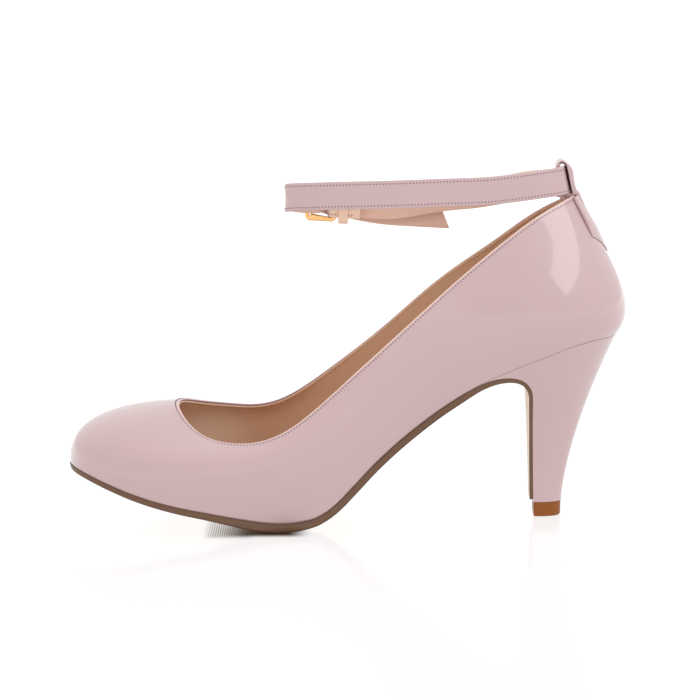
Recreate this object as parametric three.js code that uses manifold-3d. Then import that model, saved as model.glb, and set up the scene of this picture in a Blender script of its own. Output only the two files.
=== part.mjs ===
// A woman's court shoe with an ankle strap and buckle, for the right foot, standing empty on sole and heel.
// Millimetres, +Z up. -X points to the toe and +Y to the outer side of the foot.
// The origin is on the floor, in the middle of the heel's top piece.
import * as THREE from "three";
import { mergeVertices } from "three/addons/utils/BufferGeometryUtils.js";
import Module from "manifold-3d";

const wasm = await Module();
wasm.setup();

// Driving dimensions of the last.
const shoeLength = 225; // level, from the back of the heel seat to the toe tip
const ballWidth = 75; // across the sole at the ball
const seatWidth = 48.5; // across the heel seat
const seatHeight = 77; // floor to the feather edge at the back of the seat
const ballHeight = 3.7; // floor to the feather edge at the ball
const toeLift = 19.6; // how much higher the feather edge is at the toe tip than at the ball
const seatSetBack = 27.6; // back of the heel seat behind the middle of the top piece

// Driving dimensions of the upper.
const wall = 1.8; // outer leather and lining together
const vampLength = 45.2; // level, from the toe tip to the throat
const throatHeight = 47.6; // floor to the topline at the throat
const backHeight = 134; // floor to the topline at the back
const backLean = 18; // topline ahead of the back of the seat
const openingWidth = 63; // widest place of the topline

// Driving dimensions of the bottom.
const soleThickness = 3.1; // forepart and waist
const insoleThickness = 2.2;
const topPieceHeight = 6;
const heelTipLength = 12;
const heelTipWidth = 11;
const topPieceInset = 0.4; // top piece inside the heel's tip, all round

// Driving dimensions of the strap and its fittings.
const strapWidth = 11.35;
const strapThickness = 1.8;
const strapReach = 112.8; // from the middle of the back loop to the front fold
const strapSpread = 13.4; // half the gap between the two sides, at its widest
const strapRise = 6.9; // middle of the strap above the topline at the back
const strapFall = 17.6; // how far the free end hangs below the middle of the strap at the loop
const strapLean = 0.22; // how the strap leans in the loop, as a slope
const loopWidth = 9;
const loopThickness = 1.5;
const loopDoubling = 0.45; // how much thicker the loop is behind the strap
const backstayThickness = 1.3;
const backstayWidth = 20.6; // at its lower corners
const backstayDrop = 22; // from the topline to the point at the bottom
const backstayCorner = 15; // from the topline to the lower corners
const frameHeight = 15.5; // buckle, across the strap
const frameRail = 1.8; // its long sides; the bars are as wide as they are deep
const frameDepth = 1.5;
const prongRadius = 0.65;
const keeperLength = 4;
const keeperThickness = 1.1;
const foldBack = 10.5; // strap end turned round the buckle's bar
const tailSlant = 2.6; // how far the cut across the free end slants
const holePitch = 8; // between the holes in the free end
const holeRadius = 1;

// Clearance between pieces that meet.
const gap = 0.3;
const footGap = 0.42; // straight up, between the sole and what stands on it

// Mesh densities.
const roundSteps = 96; // round the shoe
const wallSteps = 10; // up the wall
const longestStep = 5; // along the strap
const finestStep = 0.25;
const mostTurn = 0.26; // between two steps, in radians

const toeTip = seatSetBack - shoeLength;
const turn = 2 * Math.PI;
const strapHeight = backHeight + strapRise;

// The last, every 15 degrees round it from the back (0) past the side to the toe tip (180), once for each side.
// sole: half width of the sole as a share of half the ball width. rim: half width of the topline as a share
// of half the opening width. top: height of the topline, from 0 at the throat to 1 at the back. inner is the
// side of the arch. kick, rise, reach and drop shape the wall between sole and topline, as shares of the
// wall's own length: kick and rise outward and upward from the sole, reach and drop outward and downward from
// the topline.
const last = [
  { at: 0, soleInner: 0, soleOuter: 0, rimInner: 0, rimOuter: 0, topInner: 1, topOuter: 1,
    kick: 0.19, rise: 0.223, reach: 0.195, drop: 0.362 },
  { at: 15, soleInner: 0.335, soleOuter: 0.335, rimInner: 0.27, rimOuter: 0.27, topInner: 0.994, topOuter: 0.976,
    kick: 0.175, rise: 0.227, reach: 0.18, drop: 0.36 },
  { at: 30, soleInner: 0.575, soleOuter: 0.58, rimInner: 0.46, rimOuter: 0.465, topInner: 0.953, topOuter: 0.92,
    kick: 0.145, rise: 0.235, reach: 0.145, drop: 0.35 },
  { at: 45, soleInner: 0.64, soleOuter: 0.655, rimInner: 0.62, rimOuter: 0.635, topInner: 0.861, topOuter: 0.813,
    kick: 0.12, rise: 0.25, reach: 0.1, drop: 0.34 },
  { at: 60, soleInner: 0.59, soleOuter: 0.65, rimInner: 0.715, rimOuter: 0.735, topInner: 0.708, topOuter: 0.668,
    kick: 0.125, rise: 0.26, reach: 0.04, drop: 0.33 },
  { at: 75, soleInner: 0.535, soleOuter: 0.65, rimInner: 0.79, rimOuter: 0.825, topInner: 0.51, topOuter: 0.491,
    kick: 0.12, rise: 0.27, reach: 0.02, drop: 0.33 },
  { at: 90, soleInner: 0.64, soleOuter: 0.745, rimInner: 0.86, rimOuter: 0.89, topInner: 0.289, topOuter: 0.274,
    kick: 0.1, rise: 0.28, reach: 0.04, drop: 0.32 },
  { at: 105, soleInner: 0.89, soleOuter: 0.92, rimInner: 0.945, rimOuter: 0.97, topInner: 0.072, topOuter: 0.081,
    kick: 0.075, rise: 0.29, reach: 0.11, drop: 0.27 },
  { at: 120, soleInner: 1, soleOuter: 0.975, rimInner: 1, rimOuter: 1.01, topInner: -0.087, topOuter: -0.061,
    kick: 0.06, rise: 0.3, reach: 0.21, drop: 0.19 },
  { at: 135, soleInner: 0.92, soleOuter: 0.87, rimInner: 0.94, rimOuter: 0.95, topInner: -0.124, topOuter: -0.081,
    kick: 0.05, rise: 0.31, reach: 0.33, drop: 0.12 },
  { at: 150, soleInner: 0.68, soleOuter: 0.64, rimInner: 0.72, rimOuter: 0.73, topInner: -0.101, topOuter: -0.052,
    kick: 0.04, rise: 0.325, reach: 0.45, drop: 0.07 },
  { at: 165, soleInner: 0.36, soleOuter: 0.34, rimInner: 0.39, rimOuter: 0.39, topInner: -0.038, topOuter: -0.014,
    kick: 0.03, rise: 0.335, reach: 0.525, drop: 0.04 },
  { at: 180, soleInner: 0, soleOuter: 0, rimInner: 0, rimOuter: 0, topInner: -0.003, topOuter: -0.003,
    kick: 0.025, rise: 0.34, reach: 0.55, drop: 0.03 },
];

// The feather edge seen from the side. along: share of the shoe's length from the back of the seat.
// pitch: share of the rise from the ball to the seat. spring: share of the toe's lift.
// thick: share of the sole's thickness. At the ball it is more, and the floor cuts it flat.
const feather = [
  { along: 0, pitch: 1, spring: 0, thick: 0.6 },
  { along: 0.04, pitch: 0.998, spring: 0, thick: 0.6 },
  { along: 0.08, pitch: 0.975, spring: 0, thick: 0.6 },
  { along: 0.14, pitch: 0.907, spring: 0, thick: 0.6 },
  { along: 0.2, pitch: 0.832, spring: 0, thick: 0.8 },
  { along: 0.26, pitch: 0.741, spring: 0, thick: 0.9 },
  { along: 0.32, pitch: 0.621, spring: 0, thick: 0.95 },
  { along: 0.38, pitch: 0.477, spring: 0, thick: 1 },
  { along: 0.44, pitch: 0.31, spring: 0, thick: 1 },
  { along: 0.485, pitch: 0.166, spring: 0, thick: 1 },
  { along: 0.51, pitch: 0.09, spring: 0, thick: 1.03 },
  { along: 0.532, pitch: 0.041, spring: 0, thick: 1.08 },
  { along: 0.554, pitch: 0.013, spring: 0, thick: 1.16 },
  { along: 0.576, pitch: 0.004, spring: 0, thick: 1.24 },
  { along: 0.597, pitch: 0, spring: 0, thick: 1.3 },
  { along: 0.618, pitch: 0, spring: 0.017, thick: 1.33 },
  { along: 0.64, pitch: 0, spring: 0.056, thick: 1.33 },
  { along: 0.661, pitch: 0, spring: 0.105, thick: 1.28 },
  { along: 0.704, pitch: 0, spring: 0.209, thick: 1.08 },
  { along: 0.746, pitch: 0, spring: 0.311, thick: 0.96 },
  { along: 0.789, pitch: 0, spring: 0.403, thick: 0.9 },
  { along: 0.832, pitch: 0, spring: 0.51, thick: 0.86 },
  { along: 0.876, pitch: 0, spring: 0.638, thick: 0.82 },
  { along: 0.921, pitch: 0, spring: 0.786, thick: 0.78 },
  { along: 0.968, pitch: 0, spring: 0.929, thick: 0.74 },
  { along: 1, pitch: 0, spring: 1, thick: 0.72 },
];

// The ankle strap's middle line, as shares: reach of the strap's reach forward of the loop, side of its spread
// (minus is the inner side) and fall of its fall. Base runs from behind the buckle back to the loop, inner from
// the loop to the front fold and round it, and tail from behind the buckle to the free end.
const baseRows = [
  { reach: 0.73, side: 0.81, fall: 0.72 },
  { reach: 0.685, side: 0.82, fall: 0.755 },
  { reach: 0.62, side: 0.86, fall: 0.76 },
  { reach: 0.56, side: 0.91, fall: 0.715 },
  { reach: 0.5, side: 0.95, fall: 0.65 },
  { reach: 0.42, side: 1, fall: 0.575 },
  { reach: 0.32, side: 1.02, fall: 0.515 },
  { reach: 0.22, side: 0.98, fall: 0.405 },
  { reach: 0.13, side: 0.88, fall: 0.275 },
  { reach: 0.06, side: 0.72, fall: 0.215 },
  { reach: 0.015, side: 0.48, fall: 0.15 },
  { reach: 0.001, side: 0.22, fall: 0.095 },
];
const innerRows = [
  { reach: 0, side: 0, fall: 0.065 },
  { reach: 0.003, side: -0.3, fall: 0.045 },
  { reach: 0.028, side: -0.58, fall: 0.055 },
  { reach: 0.09, side: -0.8, fall: 0.093 },
  { reach: 0.18, side: -0.94, fall: 0.16 },
  { reach: 0.28, side: -1, fall: 0.226 },
  { reach: 0.45, side: -1, fall: 0.269 },
  { reach: 0.63, side: -0.92, fall: 0.32 },
  { reach: 0.8, side: -0.7, fall: 0.367 },
  { reach: 0.91, side: -0.46, fall: 0.41 },
  { reach: 0.97, side: -0.25, fall: 0.442 },
  { reach: 0.997, side: -0.05, fall: 0.48 },
  { reach: 0.998, side: 0.18, fall: 0.54 },
  { reach: 0.978, side: 0.38, fall: 0.6 },
];
const tailRows = [
  { reach: 0.72, side: 0.98, fall: 0.825 },
  { reach: 0.65, side: 1.04, fall: 0.9 },
  { reach: 0.54, side: 1.13, fall: 0.96 },
  { reach: 0.43, side: 1.2, fall: 1.005 },
];
// The middles of the buckle's back bar and front bar, in the same shares.
const backBarRow = { reach: 0.828, side: 0.635, fall: 0.675 };
const frontBarRow = { reach: 0.927, side: 0.635, fall: 0.64 };
const keeperReach = 0.796;

// Cubic through the rows of a table that never overshoots a row, for a key that rises from row to row.
function through(rows, key, value) {
  const slopes = rows.slice(1).map((row, i) => (row[value] - rows[i][value]) / (row[key] - rows[i][key]));
  const tangent = rows.map((_, i) => {
    if (i === 0) return slopes[0];
    if (i === rows.length - 1) return slopes[i - 1];
    const [before, after] = [slopes[i - 1], slopes[i]];
    return before * after <= 0 ? 0 : (2 * before * after) / (before + after);
  });
  return (at) => {
    const i = Math.max(0, Math.min(rows.length - 2, rows.findLastIndex((row) => row[key] <= at)));
    const span = rows[i + 1][key] - rows[i][key];
    const t = Math.max(0, Math.min(1, (at - rows[i][key]) / span));
    const a = rows[i][value];
    const b = rows[i + 1][value];
    const swing = t * (1 - t) * ((1 - t) * tangent[i] - t * tangent[i + 1]) * span;
    return a + (b - a) * t * t * (3 - 2 * t) + swing;
  };
}

// A smooth closed curve through values at equal angles round the last: its Fourier series.
function around(inner, outer, mirror) {
  const outerSide = last.slice(1, -1).reverse();
  const ring = [...last.map((row) => row[inner]), ...outerSide.map((row) => mirror * row[outer])];
  const count = ring.length;
  const terms = [];
  for (let k = 0; k <= count / 2; k++) {
    const share = k === 0 || k === count / 2 ? 1 / count : 2 / count;
    const sum = (wave) => share * ring.reduce((total, value, i) => total + value * wave((k * turn * i) / count), 0);
    terms.push({ k, cos: sum(Math.cos), sin: sum(Math.sin) });
  }
  const term = ({ k, cos, sin }, angle) => cos * Math.cos(k * angle) + sin * Math.sin(k * angle);
  return (angle) => terms.reduce((total, each) => total + term(each, angle), 0);
}

const soleHalf = around("soleInner", "soleOuter", -1);
const rimHalf = around("rimInner", "rimOuter", -1);
const rimTop = around("topInner", "topOuter", 1);
const kick = around("kick", "kick", 1);
const rise = around("rise", "rise", 1);
const reach = around("reach", "reach", 1);
const drop = around("drop", "drop", 1);
const pitch = through(feather, "along", "pitch");
const spring = through(feather, "along", "spring");
const thick = through(feather, "along", "thick");

// Height of the feather edge over the floor at a place along the shoe.
function featherHeight(x) {
  const along = Math.max(0, Math.min(1, (seatSetBack - x) / shoeLength));
  return ballHeight + (seatHeight - ballHeight) * pitch(along) + toeLift * spring(along);
}

// A point of the feather edge and of the topline, at an angle round the last.
function footPoint(angle) {
  const x = seatSetBack - (shoeLength * (1 - Math.cos(angle))) / 2;
  return new THREE.Vector3(x, (-soleHalf(angle) * ballWidth) / 2, featherHeight(x));
}
const rimBack = seatSetBack - backLean;
const rimLength = rimBack - (toeTip + vampLength);
function rimPoint(angle) {
  const x = rimBack - (rimLength * (1 - Math.cos(angle))) / 2;
  const z = throatHeight + (backHeight - throatHeight) * rimTop(angle);
  return new THREE.Vector3(x, (-rimHalf(angle) * openingWidth) / 2, z);
}

// Level direction outwards from a closed curve round the last.
function outward(curve, angle) {
  const step = 0.01;
  const along = curve(angle + step).sub(curve(angle - step));
  return new THREE.Vector3(-along.y, along.x, 0).normalize();
}

// The outside of the upper: at an angle round the last, a cubic from the feather edge (up = 0) to the topline (1).
function upperPoint(angle, up) {
  const foot = footPoint(angle);
  foot.z += footGap;
  const rim = rimPoint(angle);
  const length = foot.distanceTo(rim);
  const low = foot.clone().addScaledVector(outward(footPoint, angle), kick(angle) * length);
  low.z += rise(angle) * length;
  const high = rim.clone().addScaledVector(outward(rimPoint, angle), reach(angle) * length);
  high.z -= drop(angle) * length;
  const down = 1 - up;
  return foot
    .multiplyScalar(down ** 3)
    .addScaledVector(low, 3 * down * down * up)
    .addScaledVector(high, 3 * down * up * up)
    .addScaledVector(rim, up ** 3);
}
function upperNormal(angle, up) {
  const step = 0.004;
  const round = upperPoint(angle + step, up).sub(upperPoint(angle - step, up));
  const rising = upperPoint(angle, Math.min(1, up + step)).sub(upperPoint(angle, Math.max(0, up - step)));
  return rising.cross(round).normalize();
}
function upperOffset(angle, up, out) {
  return upperPoint(angle, up).addScaledVector(upperNormal(angle, up), out);
}

// A geometry from rows of points that join into a closed skin: each row is a ring, and the ends are capped
// by fans, or joined to each other where the skin closes on itself.
function skin(rings, { closed = false } = {}) {
  const count = rings[0].length;
  const positions = rings.flat().flatMap((p) => [p.x, p.y, p.z]);
  const faces = [];
  const last = closed ? rings.length : rings.length - 1;
  for (let i = 0; i < last; i++) {
    for (let j = 0; j < count; j++) {
      const next = ((i + 1) % rings.length) * count;
      const [a, b] = [i * count + j, i * count + ((j + 1) % count)];
      const [c, d] = [next + j, next + ((j + 1) % count)];
      faces.push(a, b, d, a, d, c);
    }
  }
  if (!closed) {
    for (const [start, flip] of [[0, true], [(rings.length - 1) * count, false]]) {
      const middle = positions.length / 3;
      const centre = rings[start / count].reduce((sum, p) => sum.add(p), new THREE.Vector3()).divideScalar(count);
      positions.push(centre.x, centre.y, centre.z);
      for (let j = 0; j < count; j++) {
        const [a, b] = [start + j, start + ((j + 1) % count)];
        faces.push(...(flip ? [middle, b, a] : [middle, a, b]));
      }
    }
  }
  return geometryOf(positions, faces);
}

// A plate whose rim is given by pairs of points, one on each side, above and below.
function plate(pairs) {
  return skin(pairs.map(({ innerTop, outerTop, innerLow, outerLow }) => [innerTop, outerTop, outerLow, innerLow]));
}

function geometryOf(positions, faces) {
  const geometry = new THREE.BufferGeometry();
  geometry.setAttribute("position", new THREE.Float32BufferAttribute(positions, 3));
  geometry.setIndex(faces);
  return geometry;
}

// Between three.js geometries and the solids that can be cut and joined. A solid faces outwards.
function solidOf(geometry) {
  const bare = geometry.clone();
  bare.deleteAttribute("normal");
  bare.deleteAttribute("uv");
  const merged = mergeVertices(bare, 1e-4);
  const vertProperties = merged.attributes.position.array;
  const build = (triVerts) => new wasm.Manifold(new wasm.Mesh({ numProp: 3, vertProperties, triVerts }));
  const solid = build(new Uint32Array(merged.index.array));
  return solid.volume() > 0 ? solid : build(new Uint32Array(merged.index.array).reverse());
}
function geometryFrom(solid) {
  const { vertProperties, triVerts } = solid.getMesh();
  const geometry = geometryOf([...vertProperties], [...triVerts]);
  geometry.computeVertexNormals();
  return geometry;
}

const steps = (count, from, to) => Array.from({ length: count + 1 }, (_, i) => from + ((to - from) * i) / count);

// Upper: one hollow wall, open at the collar and underneath.
function upperSolid() {
  const angles = steps(roundSteps, 0, turn).slice(0, -1);
  const ups = steps(wallSteps, 0, 1);
  const rings = [
    ...ups.map((up) => angles.map((angle) => upperPoint(angle, up))),
    ...ups.toReversed().map((up) => angles.map((angle) => upperOffset(angle, up, -wall))),
  ];
  return solidOf(skin(rings, { closed: true }));
}

// Insole: a thin footbed inside the upper, on the sole and the heel seat.
function insoleSolid() {
  const inset = wall + gap;
  const edge = (angle, lift) => {
    const point = footPoint(angle).addScaledVector(outward(footPoint, angle), -inset);
    point.z = featherHeight(point.x) + lift;
    return point;
  };
  const fromEnd = 0.16;
  const pairs = steps(roundSteps / 2, fromEnd, Math.PI - fromEnd).map((angle) => ({
    innerTop: edge(angle, footGap + insoleThickness),
    outerTop: edge(turn - angle, footGap + insoleThickness),
    innerLow: edge(angle, footGap),
    outerLow: edge(turn - angle, footGap),
  }));
  return solidOf(plate(pairs));
}

// Seen from the side, the top of the sole: the feather edge, then over the arch and down the heel breast.
const breastTop = { x: -0.6 * heelTipLength, z: 0.65 * seatHeight };
const breastFoot = { x: -0.5 * heelTipLength, z: topPieceHeight + gap };
const wingStart = 0.26; // share of the shoe's length where the sole leaves the feather edge
const flapEnd = 1.2; // where the sole ends on the breast, above the heel's foot
function soleTopLine() {
  const start = seatSetBack - wingStart * shoeLength;
  const line = steps(60, toeTip, start).map((x) => new THREE.Vector2(x, featherHeight(x)));
  const rising = { x: 0.38 * (breastTop.x - start), z: 0.068 * seatHeight };
  const arch = new THREE.CubicBezierCurve(
    new THREE.Vector2(start, featherHeight(start)),
    new THREE.Vector2(start + rising.x, featherHeight(start) + rising.z),
    new THREE.Vector2(breastTop.x + 0.4, breastTop.z + 0.19 * seatHeight),
    new THREE.Vector2(breastTop.x, breastTop.z),
  );
  line.push(...arch.getPoints(12).slice(1));
  const down = breastFoot.z + flapEnd;
  const slope = (breastFoot.x - breastTop.x) / (breastTop.z - breastFoot.z);
  line.push(...steps(5, breastTop.z, down).slice(1).map((z) =>
    new THREE.Vector2(breastTop.x + (breastTop.z - z) * slope, z)));
  return line;
}

// The same line moved square to itself, below or in front of the sole's top. size is in millimetres.
function offsetLine(line, size) {
  return line.map((point, i) => {
    const before = line[Math.max(0, i - 1)];
    const after = line[Math.min(line.length - 1, i + 1)];
    const along = after.clone().sub(before).normalize();
    const by = size(point, i / (line.length - 1));
    return new THREE.Vector2(point.x + along.y * by, point.y - along.x * by);
  });
}
function thicknessAt(point, share) {
  const flapShare = 0.45;
  const fromArch = Math.max(0, Math.min(1, (share - 0.72) / 0.2));
  const full = thick((seatSetBack - point.x) / shoeLength);
  return soleThickness * (full + (Math.min(full, flapShare) - full) * fromArch);
}

// A slab across the shoe with the given outline seen from the side.
function slab(outline) {
  const halfWidth = ballWidth;
  const across = { depth: 2 * halfWidth, bevelEnabled: false };
  const geometry = new THREE.ExtrudeGeometry(new THREE.Shape(outline), across);
  geometry.rotateX(Math.PI / 2);
  geometry.translate(0, halfWidth, 0);
  return solidOf(geometry);
}

// Heel form: from the seat's outline down to the tip's, drawn in sooner at the sides than at the back.
const tipScale = { x: heelTipLength / (seatSetBack + 0.6 * heelTipLength), y: heelTipWidth / seatWidth };
function heelPoint(angle, down) {
  const seat = footPoint(angle);
  const overhang = 0.12;
  const back = Math.max(seat.x, breastTop.x);
  const front = Math.min(0, seat.x - breastTop.x);
  const tip = {
    x: heelTipLength / 2 - (seatSetBack - back) * tipScale.x + front * overhang,
    y: seat.y * tipScale.y,
  };
  const inBack = 1 - (1 - down) ** 1.5;
  const inSide = 1 - (1 - down) ** 2;
  return new THREE.Vector3(
    seat.x + (tip.x - seat.x) * inBack,
    seat.y + (tip.y - seat.y) * inSide,
    seat.z + (topPieceHeight + gap - seat.z) * down,
  );
}
const heelFront = Math.acos(1 - 2 * (wingStart + 0.035)); // angle round the last, ahead of the wing
function heelForm() {
  const side = steps(22, heelFront, 0).slice(0, -1);
  const round = [...side, 0, ...side.toReversed().map((angle) => -angle)];
  const rings = steps(16, 0, 1).map((down) => round.map((angle) => heelPoint(angle, down)));
  return solidOf(capped(rings));
}

// Rings that are open at the front, capped above and below by strips from side to side.
function capped(rings) {
  const count = rings[0].length;
  const positions = rings.flat().flatMap((p) => [p.x, p.y, p.z]);
  const faces = [];
  for (let i = 0; i < rings.length - 1; i++) {
    for (let j = 0; j < count; j++) {
      const [a, b] = [i * count + j, i * count + ((j + 1) % count)];
      faces.push(a, b, b + count, a, b + count, a + count);
    }
  }
  for (const [start, flip] of [[0, false], [(rings.length - 1) * count, true]]) {
    for (let j = 0; j < (count - 1) / 2; j++) {
      const [a, b] = [start + j, start + j + 1];
      const [c, d] = [start + count - 2 - j, start + count - 1 - j];
      const strip = c === b ? [a, d, b] : [a, d, c, a, c, b];
      faces.push(...(flip ? strip.reverse() : strip));
    }
  }
  return geometryOf(positions, faces);
}

// The forepart's outline as a prism, from the toe to the wing.
function foreForm() {
  const last = heelFront - 0.06;
  const top = seatHeight + backHeight;
  const rows = steps(44, Math.PI - 0.08, last).map((angle) => {
    const inner = footPoint(angle);
    const outer = footPoint(turn - angle);
    return {
      innerTop: new THREE.Vector3(inner.x, inner.y, top),
      outerTop: new THREE.Vector3(outer.x, outer.y, top),
      innerLow: new THREE.Vector3(inner.x, inner.y, -soleThickness),
      outerLow: new THREE.Vector3(outer.x, outer.y, -soleThickness),
    };
  });
  const tip = footPoint(Math.PI);
  rows.unshift({
    innerTop: new THREE.Vector3(tip.x + 0.12, -1.8, top),
    outerTop: new THREE.Vector3(tip.x + 0.12, 1.8, top),
    innerLow: new THREE.Vector3(tip.x + 0.12, -1.8, -soleThickness),
    outerLow: new THREE.Vector3(tip.x + 0.12, 1.8, -soleThickness),
  });
  return solidOf(plate(rows));
}

function bottomSolids() {
  const topLine = soleTopLine();
  const lowLine = offsetLine(topLine, thicknessAt);
  const tread = lowLine.map((point) => new THREE.Vector2(point.x, Math.max(0, point.y)));
  const sole = slab([...topLine, ...tread.toReversed()]);
  const form = heelForm();
  const outsole = sole.intersect(foreForm().add(form));
  const clear = offsetLine(topLine, () => -gap);
  const below = new THREE.Vector2(breastFoot.x + gap, 0);
  const ahead = new THREE.Vector2(toeTip - seatHeight, 0);
  const heel = form.subtract(slab([...clear, below, ahead]));
  return { outsole, heel };
}

// Top piece: the heel's wearing tip, with the heel's own outline at its foot, a little tapered.
function topPieceSolid() {
  const side = steps(14, Math.acos(1 - (2 * (seatSetBack - breastTop.x)) / shoeLength), 0).slice(0, -1);
  const level = (z, inset) => {
    const share = { x: 1 - (2 * inset) / heelTipLength, y: 1 - (2 * inset) / heelTipWidth };
    return [...side, 0, ...side.toReversed().map((angle) => -angle)].map((angle) => {
      const point = heelPoint(angle, 1);
      return new THREE.Vector3(point.x * share.x, point.y * share.y, z);
    });
  };
  const edge = 0.5;
  const taper = 0.15;
  return solidOf(capped([
    level(topPieceHeight, topPieceInset),
    level(edge, topPieceInset + taper),
    level(0, topPieceInset + taper + edge),
  ]));
}

// The angle round the back of the upper whose outside is the given distance from the middle.
function backAngle(width, up) {
  let [near, far] = [0, Math.PI / 3];
  for (let i = 0; i < 30; i++) {
    const middle = (near + far) / 2;
    if (Math.abs(upperPoint(middle, up).y) < Math.abs(width)) near = middle;
    else far = middle;
  }
  return near * Math.sign(width);
}

// Backstay: a shield of leather on the back of the upper, worked out from the upper's own surface. It runs on
// upwards as a narrower strip, over the ankle strap and down inside the collar.
function backstaySolid() {
  const columns = 14;
  const rows = 14;
  const topShare = 0.7;
  const topEdge = 0.99;
  const full = upperPoint(0, 1).distanceTo(upperPoint(0, 0));
  const low = 1 - backstayDrop / full;
  const corner = 1 - backstayCorner / full;
  const point = (across, t, out) => {
    const bottom = low + (corner - low) * Math.abs(across) ** 0.8;
    const up = bottom + (topEdge - bottom) * t;
    const above = Math.max(0, (up - corner) / (topEdge - corner));
    const half = (backstayWidth / 2) * (1 + (topShare - 1) * above);
    return upperOffset(backAngle(-across * half, up), up, out);
  };
  const sheet = (out) => steps(rows, 0, 1).map((t) => steps(columns, -1, 1).map((across) => point(across, t, out)));
  const shield = solidOf(slabBetween(sheet(gap), sheet(gap + backstayThickness)));
  return shield.add(loopSolid());
}

// A closed plate between two sheets of points.
function slabBetween(low, high) {
  const [rows, columns] = [low.length, low[0].length];
  const positions = [...low.flat(), ...high.flat()].flatMap((p) => [p.x, p.y, p.z]);
  const faces = [];
  const at = (sheet, i, j) => sheet * rows * columns + i * columns + j;
  for (let i = 0; i < rows - 1; i++) {
    for (let j = 0; j < columns - 1; j++) {
      const quad = (s) => [at(s, i, j), at(s, i, j + 1), at(s, i + 1, j + 1), at(s, i + 1, j)];
      const [a, b, c, d] = quad(0);
      const [e, f, g, h] = quad(1);
      faces.push(a, c, b, a, d, c, e, f, g, e, g, h);
    }
  }
  const rim = [
    ...Array.from({ length: columns - 1 }, (_, j) => [0, j]),
    ...Array.from({ length: rows - 1 }, (_, i) => [i, columns - 1]),
    ...Array.from({ length: columns - 1 }, (_, j) => [rows - 1, columns - 1 - j]),
    ...Array.from({ length: rows - 1 }, (_, i) => [rows - 1 - i, 0]),
  ];
  rim.forEach(([i, j], n) => {
    const [k, l] = rim[(n + 1) % rim.length];
    faces.push(at(0, i, j), at(0, k, l), at(1, k, l), at(0, i, j), at(1, k, l), at(1, i, j));
  });
  return geometryOf(positions, faces);
}

// A flat strip of leather along a path, with softened edges. Functions of a place give its thickness and the
// way its width points.
function strip(path, width, thicknessOf, across, slant = 0) {
  const w = width / 2;
  const sectionOf = (t, soft) => [
    [w, -t + soft],
    [w, t - soft],
    [w - soft, t],
    [-w + soft, t],
    [-w, t - soft],
    [-w, -t + soft],
    [-w + soft, -t],
    [w - soft, -t],
  ];
  const rings = path.map((point, i) => {
    const before = path[Math.max(0, i - 1)];
    const after = path[Math.min(path.length - 1, i + 1)];
    const along = after.clone().sub(before).normalize();
    const wide = across(point);
    wide.addScaledVector(along, -wide.dot(along)).normalize();
    const deep = along.clone().cross(wide);
    const lean = i === path.length - 1 ? slant : 0;
    const section = sectionOf(thicknessOf(point) / 2, thicknessOf(point) / 4);
    return section.map(([u, v]) => {
      const moved = point.clone().addScaledVector(wide, u).addScaledVector(deep, v);
      return moved.addScaledVector(along, (-u / w) * lean);
    });
  });
  return solidOf(skin(rings));
}

// Strap rows as points.
const loopMiddle = new THREE.Vector3(5.6, 0, strapHeight);
function strapPoint({ reach: far, side, fall }) {
  return new THREE.Vector3(loopMiddle.x - far * strapReach, side * strapSpread, strapHeight - fall * strapFall);
}

// The buckle lies in its own plane: along the strap, across it and outwards.
const backBar = strapPoint(backBarRow);
const frontBar = strapPoint(frontBarRow);
const buckleAlong = new THREE.Vector3().subVectors(backBar, frontBar).normalize();
const buckleAcross = new THREE.Vector3(0, 0, 1).addScaledVector(buckleAlong, -buckleAlong.z).normalize();
const buckleOut = new THREE.Vector3().crossVectors(buckleAcross, buckleAlong).normalize();
const buckleFrame = new THREE.Matrix4()
  .makeBasis(buckleAlong, buckleAcross, buckleOut)
  .setPosition(new THREE.Vector3().addVectors(backBar, frontBar).multiplyScalar(0.5));
const halfBuckle = backBar.distanceTo(frontBar) / 2;
const buckled = (along, out) => new THREE.Vector3(along, 0, out).applyMatrix4(buckleFrame);
const barGap = strapThickness / 2 + gap + 0.8 * frameDepth;

// The end of the strap: turned round the buckle's back bar, with its short ply on the ankle's side.
function foldedEnd() {
  const short = steps(3, foldBack, 2).map((along) => buckled(halfBuckle + along, -barGap));
  const round = steps(6, 1, 0).map((t) => {
    const angle = Math.PI * t;
    return buckled(halfBuckle - barGap * Math.sin(angle), barGap * Math.cos(angle));
  });
  return [...short, ...round];
}

function strapPath() {
  const over = barGap + strapThickness + gap + 0.05;
  const through = [
    buckled(-halfBuckle - 2.2, -barGap - 0.5),
    buckled(-halfBuckle, -barGap - 0.15),
    buckled(-halfBuckle + 0.55 * halfBuckle, -barGap + 0.75),
    buckled(0.2 * halfBuckle, 0.6 * over),
    buckled(halfBuckle, over),
  ];
  const rows = (list) => list.map(strapPoint);
  const points = [...foldedEnd(), ...rows(baseRows), ...rows(innerRows), ...through, ...rows(tailRows)];
  return sampled(points, longestStep);
}

// Points along a smooth curve through the given ones, closer together where it bends.
function sampled(through, longest) {
  const curve = new THREE.CatmullRomCurve3(through, false, "centripetal");
  const fine = curve.getSpacedPoints(Math.round(curve.getLength() / finestStep));
  const kept = [fine[0]];
  let heading = fine[1].clone().sub(fine[0]).normalize();
  for (let i = 1; i < fine.length - 1; i++) {
    const next = fine[i + 1].clone().sub(fine[i]).normalize();
    if (next.angleTo(heading) > mostTurn || fine[i].distanceTo(kept.at(-1)) > longest) {
      kept.push(fine[i]);
      heading = next;
    }
  }
  return [...kept, fine.at(-1)];
}

// The strap stands upright, and leans where it passes through the loop.
function strapAcross(point) {
  const inLoop = Math.max(0, 1 - (loopMiddle.x - point.x) / strapSpread);
  return new THREE.Vector3(-strapLean * inLoop, 0, 1);
}

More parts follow.
